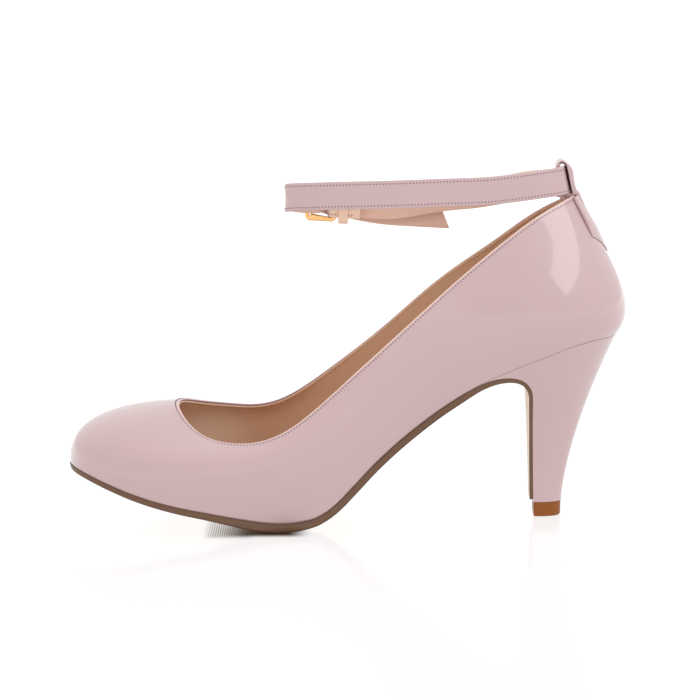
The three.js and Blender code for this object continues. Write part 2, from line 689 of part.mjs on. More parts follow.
function roundedRectangle(length, height, radius) {
  const shape = new THREE.Shape();
  const [a, b] = [length / 2, height / 2];
  shape.moveTo(-a + radius, -b);
  shape.lineTo(a - radius, -b);
  shape.absarc(a - radius, -b + radius, radius, -Math.PI / 2, 0);
  shape.lineTo(a, b - radius);
  shape.absarc(a - radius, b - radius, radius, 0, Math.PI / 2);
  shape.lineTo(-a + radius, b);
  shape.absarc(-a + radius, b - radius, radius, Math.PI / 2, Math.PI);
  shape.lineTo(-a, -b + radius);
  shape.absarc(-a + radius, -b + radius, radius, Math.PI, 1.5 * Math.PI);
  return shape;
}

// Buckle frame: a rounded rectangle of flat wire. The strap's end holds its back bar.
function frameSolid() {
  const length = 2 * halfBuckle + frameDepth;
  const outline = roundedRectangle(length, frameHeight, 2);
  outline.holes.push(roundedRectangle(length - 2 * frameDepth, frameHeight - 2 * frameRail, 0.8));
  const through = { depth: frameDepth, bevelEnabled: false, curveSegments: 5 };
  const geometry = new THREE.ExtrudeGeometry(outline, through);
  geometry.translate(0, 0, -frameDepth / 2);
  return solidOf(geometry.applyMatrix4(buckleFrame));
}

// Prong: from its eye round the back bar, out through the strap's hole and onto the front bar.
function prongSolid(clearance) {
  const half = halfBuckle;
  const eye = 0.7 * frameDepth + gap + prongRadius;
  const round = prongRadius + clearance;
  const rest = frameDepth / 2 + gap + prongRadius;
  const points = [
    [half + eye, 0],
    [half + eye * 0.7, -eye * 0.75],
    [half, -eye * 1.05],
    [half - eye * 0.75, -eye * 0.75],
    [half - eye * 1.15, 0.3],
    [half - eye * 1.5, rest * 0.95],
    [0, rest * 1.35],
    [-half, rest * 1.12],
    [-half - frameDepth * 0.6, rest * 0.98],
  ].map(([along, out]) => new THREE.Vector3(along, 0, out));
  const path = new THREE.CatmullRomCurve3(points, false, "centripetal");
  const circle = new THREE.Shape();
  circle.absarc(0, 0, round, 0, turn);
  const along = { extrudePath: path, steps: 22, curveSegments: 4, bevelEnabled: false };
  const geometry = new THREE.ExtrudeGeometry(circle, along);
  return solidOf(geometry.applyMatrix4(buckleFrame));
}

// Holes through the free end, in line with the one that the prong uses.
function holeSolids(path) {
  const used = buckled(0.4 * halfBuckle, 0);
  const start = path.findLastIndex((point) => point.y > 0 && point.x < used.x);
  const lengths = path.map((point, i) => (i === 0 ? 0 : point.distanceTo(path[i - 1])));
  const distance = (end) => lengths.slice(start + 1, end + 1).reduce((sum, length) => sum + length, 0);
  return [1, 2, 3].map((n) => {
    const i = path.findIndex((_, k) => k > start && distance(k) >= n * holePitch);
    const along = path[i + 1].clone().sub(path[i - 1]).normalize();
    const wide = new THREE.Vector3(0, 0, 1).addScaledVector(along, -along.z).normalize();
    const out = along.clone().cross(wide);
    const geometry = new THREE.CylinderGeometry(holeRadius, holeRadius, strapThickness + 0.5, 10);
    const turned = new THREE.Quaternion().setFromUnitVectors(new THREE.Vector3(0, 1, 0), out);
    geometry.applyQuaternion(turned).translate(path[i].x, path[i].y, path[i].z);
    return solidOf(geometry);
  });
}

function strapSolid() {
  const path = strapPath();
  const holes = holeSolids(path);
  const whole = strip(path, strapWidth, () => strapThickness, strapAcross, tailSlant);
  return [prongSolid(gap), ...holes].reduce((solid, cut) => solid.subtract(cut), whole);
}

// Keeper: a leather ring round the strap's base, its folded end and the free end.
function keeperSolid() {
  const place = strapPoint({ reach: keeperReach, side: 0, fall: 0 });
  const forward = backBar.x - place.x;
  const middle = buckled(halfBuckle - forward, 0);
  const innerFace = -barGap - strapThickness / 2 - gap;
  const outerFace = barGap + 1.5 * strapThickness + 3 * gap;
  const clearHeight = strapWidth + 8 * gap;
  const outline = roundedRectangle(outerFace - innerFace + 2 * keeperThickness, clearHeight + 2 * keeperThickness, 1.6);
  outline.holes.push(roundedRectangle(outerFace - innerFace, clearHeight, 0.6));
  const along = { depth: keeperLength, bevelEnabled: false, curveSegments: 4 };
  const geometry = new THREE.ExtrudeGeometry(outline, along);
  geometry.translate((innerFace + outerFace) / 2, 0, -keeperLength / 2);
  const basis = new THREE.Matrix4().makeBasis(buckleOut.clone().negate(), buckleAcross, buckleAlong);
  return solidOf(geometry.scale(-1, 1, 1).applyMatrix4(basis.setPosition(middle)));
}

// Loop: a strip up the back, over the strap and down inside the collar. It is doubled behind the strap.
function loopSolid() {
  const half = loopThickness / 2;
  const outside = (up) => upperOffset(0, up, gap + half);
  const inside = (up) => upperOffset(0, up, -wall - 4 * gap - half);
  const clear = strapThickness / 2 + gap + half;
  const beside = (lift, side) => new THREE.Vector3(
    loopMiddle.x + side * clear - strapLean * lift * strapWidth, 0, strapHeight + lift * strapWidth);
  const crown = 0.58;
  const points = [
    outside(0.88),
    outside(0.93),
    outside(0.985),
    beside(-0.57, 1.9),
    beside(-0.457, 1.3),
    beside(-0.095, 1.2),
    beside(0.305, 1.28),
    beside(crown, -0.1),
    beside(0.305, -1.5),
    beside(-0.095, -1.5),
    beside(-0.43, -1.6),
    beside(-0.65, -1.75),
    inside(0.93),
    inside(0.88),
    inside(0.83),
    inside(0.76),
  ];
  const thickness = (point) => {
    const behind = Math.max(0, Math.min(1, (point.x - loopMiddle.x) / 1.2));
    const free = Math.max(0, Math.min(1, (point.z - backHeight) / 1.5));
    const lift = (point.z - strapHeight) / strapWidth;
    return loopThickness + loopDoubling * behind * free * Math.exp(-(((lift + 0.4) / 0.8) ** 2));
  };
  return strip(sampled(points, longestStep), loopWidth, thickness, () => new THREE.Vector3(0, 1, 0));
}

const blush = { color: 0xd6b6b4, roughness: 0.18, metalness: 0 };
const finishes = {
  upper: blush,
  backstay: blush,
  ankle_strap: blush,
  strap_keeper: blush,
  heel: blush,
  insole: { color: 0xc09a78, roughness: 0.6, metalness: 0 },
  outsole: { color: 0x80614c, roughness: 0.5, metalness: 0 },
  top_piece: { color: 0x9a6238, roughness: 0.5, metalness: 0 },
  buckle_frame: { color: 0xd8a868, roughness: 0.25, metalness: 1 },
  buckle_prong: { color: 0xd8a868, roughness: 0.25, metalness: 1 },
};

const { outsole, heel } = bottomSolids();
const solids = {
  upper: upperSolid(),
  insole: insoleSolid(),
  outsole,
  heel,
  top_piece: topPieceSolid(),
  backstay: backstaySolid(),
  ankle_strap: strapSolid(),
  strap_keeper: keeperSolid(),
  buckle_frame: frameSolid(),
  buckle_prong: prongSolid(0),
};

const pump = new THREE.Group();
for (const [name, solid] of Object.entries(solids)) {
  const mesh = new THREE.Mesh(geometryFrom(solid), new THREE.MeshStandardMaterial(finishes[name]));
  mesh.name = name;
  pump.add(mesh);
}

export default pump;
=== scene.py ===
"""A woman's court shoe in blush patent leather, with an ankle strap and buckle, on a pale studio floor."""

import math

import bpy
import numpy as np
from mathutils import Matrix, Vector


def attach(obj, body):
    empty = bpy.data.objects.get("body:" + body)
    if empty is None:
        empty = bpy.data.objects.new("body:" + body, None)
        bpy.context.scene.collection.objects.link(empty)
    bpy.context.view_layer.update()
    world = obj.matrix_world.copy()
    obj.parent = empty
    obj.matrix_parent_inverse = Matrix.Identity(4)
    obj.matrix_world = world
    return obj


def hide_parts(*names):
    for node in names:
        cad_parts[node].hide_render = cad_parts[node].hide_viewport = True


bl_info = {
    "name": "Buckle pump",
    "version": (1, 0, 0),
    "blender": (4, 5, 0),
    "location": "View3D > Sidebar > Buckle pump",
    "description": "Builds a patent leather court shoe with an ankle strap, piece by piece",
    "category": "Add Mesh",
}

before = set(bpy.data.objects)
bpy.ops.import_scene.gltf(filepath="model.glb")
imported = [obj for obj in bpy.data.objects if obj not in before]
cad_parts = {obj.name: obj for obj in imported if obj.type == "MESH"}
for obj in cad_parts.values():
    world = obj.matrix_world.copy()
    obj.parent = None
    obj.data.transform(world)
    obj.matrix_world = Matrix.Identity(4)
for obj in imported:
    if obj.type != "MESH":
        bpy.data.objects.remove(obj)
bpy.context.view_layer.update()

# Sizes of the shoe in millimetres, as in the part's source. -X points to the toe, +Z up.
MM = 0.001
SHOE_LENGTH = 225
BALL_WIDTH = 75
SEAT_WIDTH = 48.5
SEAT_HEIGHT = 77
BALL_HEIGHT = 3.7
TOE_LIFT = 19.6
SEAT_SET_BACK = 27.6
WALL = 1.8
VAMP_LENGTH = 45.2
THROAT_HEIGHT = 47.6
BACK_HEIGHT = 134
BACK_LEAN = 18
OPENING_WIDTH = 63
SOLE_THICKNESS = 3.1
INSOLE_THICKNESS = 2.2
TOP_PIECE_HEIGHT = 6
TIP_LENGTH = 12
TIP_WIDTH = 11
STRAP_WIDTH = 11.35
STRAP_THICKNESS = 1.8
STRAP_REACH = 112.8
STRAP_SPREAD = 13.4
STRAP_RISE = 6.9
STRAP_FALL = 17.6
STRAP_LEAN = 0.22
LOOP_WIDTH = 9
LOOP_THICKNESS = 1.5
LOOP_DOUBLING = 0.45
LOOP_SLOT = 0.6
BACKSTAY_THICKNESS = 1.3
BACKSTAY_WIDTH = 20.6
BACKSTAY_DROP = 22
BACKSTAY_CORNER = 15
FRAME_HEIGHT = 15.5
FRAME_RAIL = 1.8
FRAME_DEPTH = 1.5
PRONG_RADIUS = 0.65
HOLE_PITCH = 8
HOLE_RADIUS = 1
KEEPER_LENGTH = 4
KEEPER_THICKNESS = 1.1
FOLD_BACK = 10.5
TAIL_SLANT = 2.6
GAP = 0.3
SEAM_GAP = 0.05

TOE_TIP = SEAT_SET_BACK - SHOE_LENGTH
STRAP_HEIGHT = BACK_HEIGHT + STRAP_RISE
LOOP_X = 5.6  # the strap's middle line at the back of the loop
UP = np.array([0, 0, 1.0])
TURN = 2 * math.pi
ROUND = 384  # columns round the upper
STITCH_SHARE = 0.38  # how much of its pitch a stitch fills
COLLAR = 5.0  # height of the band below the topline that has finer rows
STRAP_FACE = -1.0  # which side of the strap's section faces outwards

# The last, every 15 degrees round it from the back past the side to the toe tip, for each side.
LAST = {
    "sole_inner": (0, 0.335, 0.575, 0.64, 0.59, 0.535, 0.64, 0.89, 1, 0.92, 0.68, 0.36, 0),
    "sole_outer": (0, 0.335, 0.58, 0.655, 0.65, 0.65, 0.745, 0.92, 0.975, 0.87, 0.64, 0.34, 0),
    "rim_inner": (0, 0.27, 0.46, 0.62, 0.715, 0.79, 0.86, 0.945, 1, 0.94, 0.72, 0.39, 0),
    "rim_outer": (0, 0.27, 0.465, 0.635, 0.735, 0.825, 0.89, 0.97, 1.01, 0.95, 0.73, 0.39, 0),
    "top_inner": (1, 0.994, 0.953, 0.861, 0.708, 0.51, 0.289, 0.072, -0.087, -0.124, -0.101, -0.038, -0.003),
    "top_outer": (1, 0.976, 0.92, 0.813, 0.668, 0.491, 0.274, 0.081, -0.061, -0.081, -0.052, -0.014, -0.003),
    "kick": (0.19, 0.175, 0.145, 0.12, 0.125, 0.12, 0.1, 0.075, 0.06, 0.05, 0.04, 0.03, 0.025),
    "rise": (0.223, 0.227, 0.235, 0.25, 0.26, 0.27, 0.28, 0.29, 0.3, 0.31, 0.325, 0.335, 0.34),
    "reach": (0.195, 0.18, 0.145, 0.1, 0.04, 0.02, 0.04, 0.11, 0.21, 0.33, 0.45, 0.525, 0.55),
    "drop": (0.362, 0.36, 0.35, 0.34, 0.33, 0.33, 0.32, 0.27, 0.19, 0.12, 0.07, 0.04, 0.03),
}

# The feather edge from the side: share of the length, of the pitch, of the toe's lift and of the thickness.
FEATHER = {
    "along": (0, 0.04, 0.08, 0.14, 0.2, 0.26, 0.32, 0.38, 0.44, 0.485, 0.51, 0.532, 0.554,
              0.576, 0.597, 0.618, 0.64, 0.661, 0.704, 0.746, 0.789, 0.832, 0.876, 0.921, 0.968, 1),
    "pitch": (1, 0.998, 0.975, 0.907, 0.832, 0.741, 0.621, 0.477, 0.31, 0.166, 0.09, 0.041, 0.013,
              0.004, 0, 0, 0, 0, 0, 0, 0, 0, 0, 0, 0, 0),
    "spring": (0, 0, 0, 0, 0, 0, 0, 0, 0, 0, 0, 0, 0,
               0, 0, 0.017, 0.056, 0.105, 0.209, 0.311, 0.403, 0.51, 0.638, 0.786, 0.929, 1),
    "thick": (0.6, 0.6, 0.6, 0.6, 0.8, 0.9, 0.95, 1, 1, 1, 1.03, 1.08, 1.16,
              1.24, 1.3, 1.33, 1.33, 1.28, 1.08, 0.96, 0.9, 0.86, 0.82, 0.78, 0.74, 0.72),
}

# Rows of the strap's middle line: share of its reach, of its spread and of its fall.
STRAP_BASE = (
    (0.73, 0.81, 0.72), (0.685, 0.82, 0.755), (0.62, 0.86, 0.76), (0.56, 0.91, 0.715), (0.5, 0.95, 0.65),
    (0.42, 1, 0.575), (0.32, 1.02, 0.515), (0.22, 0.98, 0.405), (0.13, 0.88, 0.275), (0.06, 0.72, 0.215),
    (0.015, 0.48, 0.15), (0.001, 0.22, 0.095),
)
STRAP_INNER = (
    (0, 0, 0.065), (0.003, -0.3, 0.045), (0.028, -0.58, 0.055), (0.09, -0.8, 0.093), (0.18, -0.94, 0.16),
    (0.28, -1, 0.226), (0.45, -1, 0.269), (0.63, -0.92, 0.32), (0.8, -0.7, 0.367), (0.91, -0.46, 0.41),
    (0.97, -0.25, 0.442), (0.997, -0.05, 0.48), (0.998, 0.18, 0.54), (0.978, 0.38, 0.6),
)
STRAP_TAIL = ((0.72, 0.98, 0.825), (0.65, 1.04, 0.9), (0.54, 1.13, 0.96), (0.43, 1.2, 1.005))
BACK_BAR = (0.828, 0.635, 0.675)
FRONT_BAR = (0.927, 0.635, 0.64)
KEEPER_REACH = 0.796


# Curves and surfaces of the last

def through(keys, values):
    """A cubic through rising keys that overshoots no row: harmonic means of the slopes are its tangents."""
    keys, values = np.array(keys, float), np.array(values, float)
    spans = np.diff(keys)
    slopes = np.diff(values) / spans
    product = slopes[:-1] * slopes[1:]
    total = np.where(product > 0, slopes[:-1] + slopes[1:], 1)
    inner = np.where(product > 0, 2 * product / total, 0)
    tangents = np.concatenate([slopes[:1], inner, slopes[-1:]])

    def at(place):
        i = np.clip(np.searchsorted(keys, place, side="right") - 1, 0, len(keys) - 2)
        t = np.clip((place - keys[i]) / spans[i], 0, 1)
        swing = t * (1 - t) * ((1 - t) * tangents[i] - t * tangents[i + 1]) * spans[i]
        return values[i] + (values[i + 1] - values[i]) * t * t * (3 - 2 * t) + swing

    return at


def around(inner, outer, mirror):
    """The Fourier series through equally spaced values round the last."""
    ring = np.concatenate([LAST[inner], mirror * np.array(LAST[outer])[-2:0:-1]])
    count = len(ring)
    orders = np.arange(count // 2 + 1)
    shares = np.where((orders == 0) | (orders == count // 2), 1, 2) / count
    turns = np.outer(orders, np.arange(count)) * TURN / count
    cosines = shares * (np.cos(turns) @ ring)
    sines = shares * (np.sin(turns) @ ring)

    def at(angle):
        waves = np.asarray(angle, float)[..., None] * orders
        return np.cos(waves) @ cosines + np.sin(waves) @ sines

    return at


sole_half = around("sole_inner", "sole_outer", -1)
rim_half = around("rim_inner", "rim_outer", -1)
rim_top = around("top_inner", "top_outer", 1)
kick_at = around("kick", "kick", 1)
rise_at = around("rise", "rise", 1)
reach_at = around("reach", "reach", 1)
drop_at = around("drop", "drop", 1)
pitch_at = through(FEATHER["along"], FEATHER["pitch"])
spring_at = through(FEATHER["along"], FEATHER["spring"])
thick_at = through(FEATHER["along"], FEATHER["thick"])


def stack(x, y, z):
    """Points from arrays of their coordinates."""
    return np.stack(np.broadcast_arrays(x, y, z), axis=-1).astype(float)


def unit(vectors):
    """Vectors divided by their lengths."""
    return vectors / np.maximum(np.linalg.norm(vectors, axis=-1, keepdims=True), 1e-12)


def running(path):
    """How far along a line of points each of them lies."""
    return np.concatenate([[0], np.cumsum(np.linalg.norm(np.diff(path, axis=0), axis=1))])


def sampled(places, run, rows):
    """What rows of numbers say at places along a run, straight between its points."""
    return np.stack([np.interp(places, run, column) for column in rows.T], axis=-1)


def respaced(path, count):
    """A line of points at even steps along another."""
    run = running(path)
    return sampled(np.linspace(0, run[-1], count), run, path)


def halved(near, far, inside, rounds):
    """The place between two limits up to which a test holds, by halving."""
    for _ in range(rounds):
        middle = (near + far) / 2
        holds = inside(middle)
        near, far = np.where(holds, middle, near), np.where(holds, far, middle)
    return (near + far) / 2


def feather_height(x):
    """Height of the feather edge: ball height, plus the pitch to the seat, plus the toe's spring."""
    along = np.clip((SEAT_SET_BACK - x) / SHOE_LENGTH, 0, 1)
    return BALL_HEIGHT + (SEAT_HEIGHT - BALL_HEIGHT) * pitch_at(along) + TOE_LIFT * spring_at(along)


def foot_point(angle):
    """The feather edge: lengthwise by the cosine of the angle, sideways by the sole's half width."""
    x = SEAT_SET_BACK - SHOE_LENGTH * (1 - np.cos(angle)) / 2
    return stack(x, -sole_half(angle) * BALL_WIDTH / 2, feather_height(x))


def rim_point(angle):
    """The topline: lengthwise by the cosine of the angle, sideways by the rim's half width."""
    back = SEAT_SET_BACK - BACK_LEAN
    length = back - (TOE_TIP + VAMP_LENGTH)
    x = back - length * (1 - np.cos(angle)) / 2
    z = THROAT_HEIGHT + (BACK_HEIGHT - THROAT_HEIGHT) * rim_top(angle)
    return stack(x, -rim_half(angle) * OPENING_WIDTH / 2, z)


def outward(curve, angle):
    """Level unit vectors that point away from a closed curve round the last."""
    along = curve(angle + 0.01) - curve(angle - 0.01)
    return unit(stack(-along[..., 1], along[..., 0], 0))


def upper_point(angle, up):
    """The outside of the upper: a cubic Bezier curve at each angle, from the feather edge to the topline."""
    angle, up = np.broadcast_arrays(np.asarray(angle, float), np.asarray(up, float))
    foot, rim = foot_point(angle), rim_point(angle)
    foot = foot + SEAM_GAP * UP
    length = np.linalg.norm(rim - foot, axis=-1)[..., None]
    low = foot + outward(foot_point, angle) * kick_at(angle)[..., None] * length
    low = low + UP * rise_at(angle)[..., None] * length
    high = rim + outward(rim_point, angle) * reach_at(angle)[..., None] * length
    high = high - UP * drop_at(angle)[..., None] * length
    t, s = up[..., None], 1 - up[..., None]
    return foot * s**3 + low * 3 * s * s * t + high * 3 * s * t * t + rim * t**3


def upper_rising(angle, up):
    """How the upper's outside moves for a step up the wall, from a short difference."""
    step = 0.004
    above, below = np.minimum(1, up + step), np.maximum(0, up - step)
    return (upper_point(angle, above) - upper_point(angle, below)) / (above - below)[..., None]


def upper_offset(angle, up, out):
    """A point at a distance outwards from the upper's outside."""
    angle, up, out = np.broadcast_arrays(*(np.asarray(v, float) for v in (angle, up, out)))
    onwards = upper_point(angle + 0.004, up) - upper_point(angle - 0.004, up)
    normal = unit(np.cross(upper_rising(angle, up), onwards))
    return upper_point(angle, up) + normal * out[..., None]


def up_below_rim(angle, distance):
    """The share up the wall that lies a distance below the topline, measured along the leather."""
    speed = np.linalg.norm(upper_rising(angle, np.ones_like(angle)), axis=-1)
    return 1 - distance / speed


def back_angle(width, up):
    """The angle round the back whose outside is the given distance from the middle."""
    def inside(angle):
        return np.abs(upper_point(angle, up)[..., 1]) < np.abs(width)

    return np.sign(width) * halved(np.zeros_like(width), np.full_like(width, math.pi / 3), inside, 28)


# Meshes

def loop_faces(rows, columns):
    """Quads of a grid whose columns close on themselves."""
    i, j = np.meshgrid(np.arange(rows - 1) * columns, np.arange(columns), indexing="ij")
    right = (j + 1) % columns
    return np.stack([i + j, i + right, i + columns + right, i + columns + j], -1).reshape(-1, 4)


def grid_faces(rows, columns):
    """Quads of an open grid."""
    i, j = np.meshgrid(np.arange(rows - 1), np.arange(columns - 1), indexing="ij")
    corner = i * columns + j
    return np.stack([corner, corner + 1, corner + columns + 1, corner + columns], -1).reshape(-1, 4)


def signed_volume(points, quads):
    """Six times the volume inside closed quads: positive where they face outwards."""
    a, b, c, d = (points[quads[:, k]] for k in range(4))
    return np.sum(np.cross(a, b) * c + np.cross(a, c) * d)


def make_piece(name, points, quads, material, slot, *nodes, **marks):
    """A mesh object from points in millimetres, with doubled points merged and its faces turned outwards.

    It takes the place of the CAD nodes that are named, and its points carry the marks.
    """
    points = np.asarray(points, float).reshape(-1, 3)
    cells = np.round(points / 1e-4).astype(np.int64)
    _, first, back = np.unique(cells, axis=0, return_index=True, return_inverse=True)
    quads = back.reshape(-1)[np.asarray(quads)]
    if signed_volume(points[first], quads) < 0:
        quads = quads[:, ::-1]
    mesh = bpy.data.meshes.new(name)
    apart = quads != np.roll(quads, 1, axis=1)
    counts = apart.sum(axis=1)
    whole = counts > 2
    corners = quads[whole][apart[whole]]
    starts = np.concatenate([[0], np.cumsum(counts[whole])[:-1]])
    mesh.vertices.add(len(first))
    mesh.vertices.foreach_set("co", (points[first] * MM).ravel())
    mesh.loops.add(len(corners))
    mesh.loops.foreach_set("vertex_index", corners.astype(np.int32))
    mesh.polygons.add(len(starts))
    mesh.polygons.foreach_set("loop_start", starts.astype(np.int32))
    mesh.update(calc_edges=True)
    mesh.polygons.foreach_set("use_smooth", np.ones(len(starts), bool))
    for key, values in marks.items():
        attribute = mesh.attributes.new(key, "FLOAT", "POINT")
        attribute.data.foreach_set("value", np.asarray(values, float).ravel()[first])
    mesh.validate()
    mesh.materials.append(material)
    piece = bpy.data.objects.new(name, mesh)
    bpy.context.collection.objects.link(piece)
    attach(piece, "root")
    if nodes:
        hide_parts(*nodes)
    return piece


def capped_tube(rings):
    """Rings of points joined in a row and closed at both ends, as points and quads."""
    rows, columns = rings.shape[:2]
    ends = [np.repeat(ring.mean(axis=0)[None], columns, axis=0) for ring in (rings[0], rings[-1])]
    closed = np.concatenate([ends[0][None], rings, ends[1][None]])
    return closed.reshape(-1, 3), loop_faces(rows + 2, columns)


def wrapped(rings):
    """Rings of points that need no caps, with their quads."""
    return rings, loop_faces(*rings.shape[:2])


def joined(parts):
    """Several pieces' points and quads as one piece's."""
    starts = np.cumsum([0] + [len(points) for points, _ in parts])
    quads = [part[1] + start for part, start in zip(parts, starts)]
    return np.concatenate([points for points, _ in parts]), np.concatenate(quads)


def bevel(piece, width):
    """Rounds the sharp edges of a piece; width in millimetres."""
    modifier = piece.modifiers.new("soft edges", "BEVEL")
    modifier.width = width * MM
    modifier.segments = 3
    modifier.limit_method = "ANGLE"
    modifier.angle_limit = math.radians(40)
    modifier.harden_normals = True


# Materials

class Value:
    """A number that varies over a surface. Arithmetic on it adds Math nodes."""

    def __init__(self, graph, socket):
        self.graph = graph
        self.socket = socket

    def _math(self, operation, *values):
        return self.graph.node("ShaderNodeMath", {"operation": operation}, *values)

    def __add__(self, other):
        return self._math("ADD", self, other)

    def __radd__(self, other):
        return self._math("ADD", other, self)

    def __sub__(self, other):
        return self._math("SUBTRACT", self, other)

    def __rsub__(self, other):
        return self._math("SUBTRACT", other, self)

    def __mul__(self, other):
        return self._math("MULTIPLY", self, other)

    def __rmul__(self, other):
        return self._math("MULTIPLY", other, self)

    def sine(self):
        return self._math("SINE", self)

    def above(self, low, high):
        """0 below low, 1 above high, and smooth between them."""
        settings = {"interpolation_type": "SMOOTHSTEP"}
        sockets = {"Value": self, "From Min": low, "From Max": high}
        return self.graph.node("ShaderNodeMapRange", settings, **sockets)


class Graph:
    """The nodes of one material."""

    def __init__(self, name):
        self.material = bpy.data.materials.new(name)
        self.material.use_nodes = True
        self.tree = self.material.node_tree
        self.tree.nodes.clear()

    def node(self, kind, settings=None, *values, output=0, **sockets):
        """Adds a node: its settings first, then the values or links of its sockets, by place or by name."""
        node = self.tree.nodes.new(kind)
        for key, value in (settings or {}).items():
            setattr(node, key, value)
        named = [(node.inputs[i], value) for i, value in enumerate(values)]
        named += [(self._input(node, key), value) for key, value in sockets.items()]
        for socket, value in named:
            if isinstance(value, Value):
                self.tree.links.new(value.socket, socket)
            else:
                socket.default_value = value
        return Value(self, node.outputs[output]) if len(node.outputs) else None

    @staticmethod
    def _input(node, key):
        """The enabled input of that name; underscores stand for spaces."""
        wanted = key.replace("_", " ")
        return next(s for s in node.inputs if s.name == wanted and s.enabled)

    def places(self, scale=(1, 1, 1)):
        """Object coordinates, stretched by a factor for each axis."""
        position = self.node("ShaderNodeTexCoord", output=3)
        if scale == (1, 1, 1):
            return position
        return self.node("ShaderNodeMapping", {"vector_type": "POINT"}, Vector=position, Scale=scale)

    def axis(self, index):
        """One of the object coordinates, in metres."""
        return self.node("ShaderNodeSeparateXYZ", None, self.places(), output=index)

    def mark(self, name):
        """A number stored on the mesh's points."""
        return self.node("ShaderNodeAttribute", {"attribute_name": name}, output=2)

    def noise(self, scale, detail=2.0, roughness=0.5, stretch=(1, 1, 1)):
        """Noise from 0 to 1, with features of about 1/scale metres."""
        place = self.places(stretch)
        sockets = {"Scale": scale, "Detail": detail, "Roughness": roughness}
        return self.node("ShaderNodeTexNoise", None, Vector=place, **sockets)

    def cells(self, scale):
        """Distance to the nearest of scattered points, as in leather grain."""
        return self.node("ShaderNodeTexVoronoi", None, Vector=self.places(), Scale=scale)

    def mix(self, share, low, high):
        """A colour between two others."""
        return self.node("ShaderNodeMix", {"data_type": "RGBA"}, share, output=2, A=low, B=high)

    def bump(self, height, distance, strength=1.0):
        """A normal from heights; distance in metres is the height of a full step."""
        return self.node("ShaderNodeBump", None, Height=height, Distance=distance, Strength=strength)

    def finish(self, **sockets):
        """The surface shader, linked to the output."""
        shader = self.node("ShaderNodeBsdfPrincipled", None, **sockets)
        self.node("ShaderNodeOutputMaterial", None, shader)
        return self.material


def rgb(colour, share=1.0):
    """A colour with its alpha, brightened or darkened by a share."""
    return (*(min(1, max(0, c * share)) for c in colour), 1.0)


def patent(name, colour, edge):
    """Patent leather: even pigment under a clear glossy coat with a very slight ripple; where marked, a
    darker, duller copy as painted shade, and the skin side's cream with little coat, which on the upper's
    near topline is a painted highlight.
    """
    graph = Graph(name)
    cloud = graph.noise(28, 3)
    seam = graph.mark("seam")
    raw = graph.mark("raw")
    base = graph.mix(cloud, rgb(colour, 0.975), rgb(colour, 1.02))
    # Painted shade: a darker, duller copy of the pigment where marked.
    base = graph.mix(seam, base, rgb((colour[0] * 0.62, colour[1] * 0.46, colour[2] * 0.5)))
    # The skin side's cream with little coat: real on the strap's folded end and the keeper's inner side, a
    # painted highlight along the upper's near topline.
    base = graph.mix(raw, base, rgb(edge))
    ripple = graph.noise(160, 2) + graph.noise(900, 1) * 0.12
    return graph.finish(
        Base_Color=base,
        Roughness=0.3 + cloud * 0.12,
        Coat_Weight=1.0 - seam * 0.6 - raw * 0.9,
        Coat_Roughness=0.06,
        Coat_IOR=1.5,
        Specular_IOR_Level=0.4,
        Normal=graph.bump(ripple, 0.00006, 0.5),
    )


def lining(name, colour, front=None):
    """Smooth tan lining leather, slightly uneven, with fine pores; if a colour is given, lighter towards the
    toe as painted light.
    """
    graph = Graph(name)
    cloud = graph.noise(35, 4)
    grain = graph.cells(1500)
    base = graph.mix(cloud, rgb(colour, 0.86), rgb(colour, 1.12))
    if front:
        # Painted light: lighter towards the toe.
        base = graph.mix(1 - graph.axis(0).above(-0.148, -0.116), base, rgb(front))
    base = graph.mix(grain.above(0.1, 0.5) * 0.25, base, rgb(colour, 0.8))
    return graph.finish(
        Base_Color=base,
        Roughness=0.45 + cloud * 0.15,
        Specular_IOR_Level=0.45,
        Sheen_Weight=0.15,
        Normal=graph.bump(grain + graph.noise(700, 2) * 0.5, 0.00008, 0.5),
    )


def dull(name, colour):
    """Painted shade in a slot or a punched hole: dark and matt."""
    graph = Graph(name)
    cloud = graph.noise(400, 2)
    return graph.finish(
        Base_Color=graph.mix(cloud, rgb(colour, 0.8), rgb(colour, 1.2)),
        Roughness=0.8 + cloud * 0.1,
        Specular_IOR_Level=0.08,
    )


def sole_leather(name, edge, face):
    """Stained and burnished at its edge, buff on its face, and darker along the edge's top, at the join with
    the upper, and along its bottom.
    """
    graph = Graph(name)
    streak = graph.noise(120, 3, stretch=(1, 1, 8))
    rim = graph.mark("edge")
    depth = graph.mark("depth")
    band = (1 - depth.above(0.0, 0.3)) + depth.above(0.72, 1.0)
    stained = graph.mix(streak, rgb(edge, 0.85), rgb(edge, 1.15))
    stained = graph.mix(band * 0.6, stained, rgb(edge, 0.4))
    scuff = graph.noise(60, 5, 0.65, stretch=(0.4, 1, 1))
    buff = graph.mix(scuff, rgb(face, 0.88), rgb(face, 1.06))
    return graph.finish(
        Base_Color=graph.mix(rim, buff, stained),
        Roughness=0.5 - rim * 0.04 + scuff * 0.1,
        Specular_IOR_Level=0.3,
        Coat_Weight=rim * 0.1,
        Coat_Roughness=0.2,
        Normal=graph.bump(streak + scuff, 0.00008, 0.5),
    )


def tip_stack(name, colour):
    """The wearing tip: pressed layers that show as fine level lines."""
    graph = Graph(name)
    lines = (graph.axis(2) * (TURN / 0.00085)).sine() * 0.5 + 0.5
    cloud = graph.noise(300, 3)
    base = graph.mix(lines * 0.6 + cloud * 0.3, rgb(colour, 1.3), rgb(colour, 0.6))
    return graph.finish(
        Base_Color=base,
        Roughness=0.34 + cloud * 0.12,
        Specular_IOR_Level=0.3,
        Coat_Weight=0.15,
        Coat_Roughness=0.15,
        Normal=graph.bump(lines + cloud * 0.3, 0.00006, 0.6),
    )


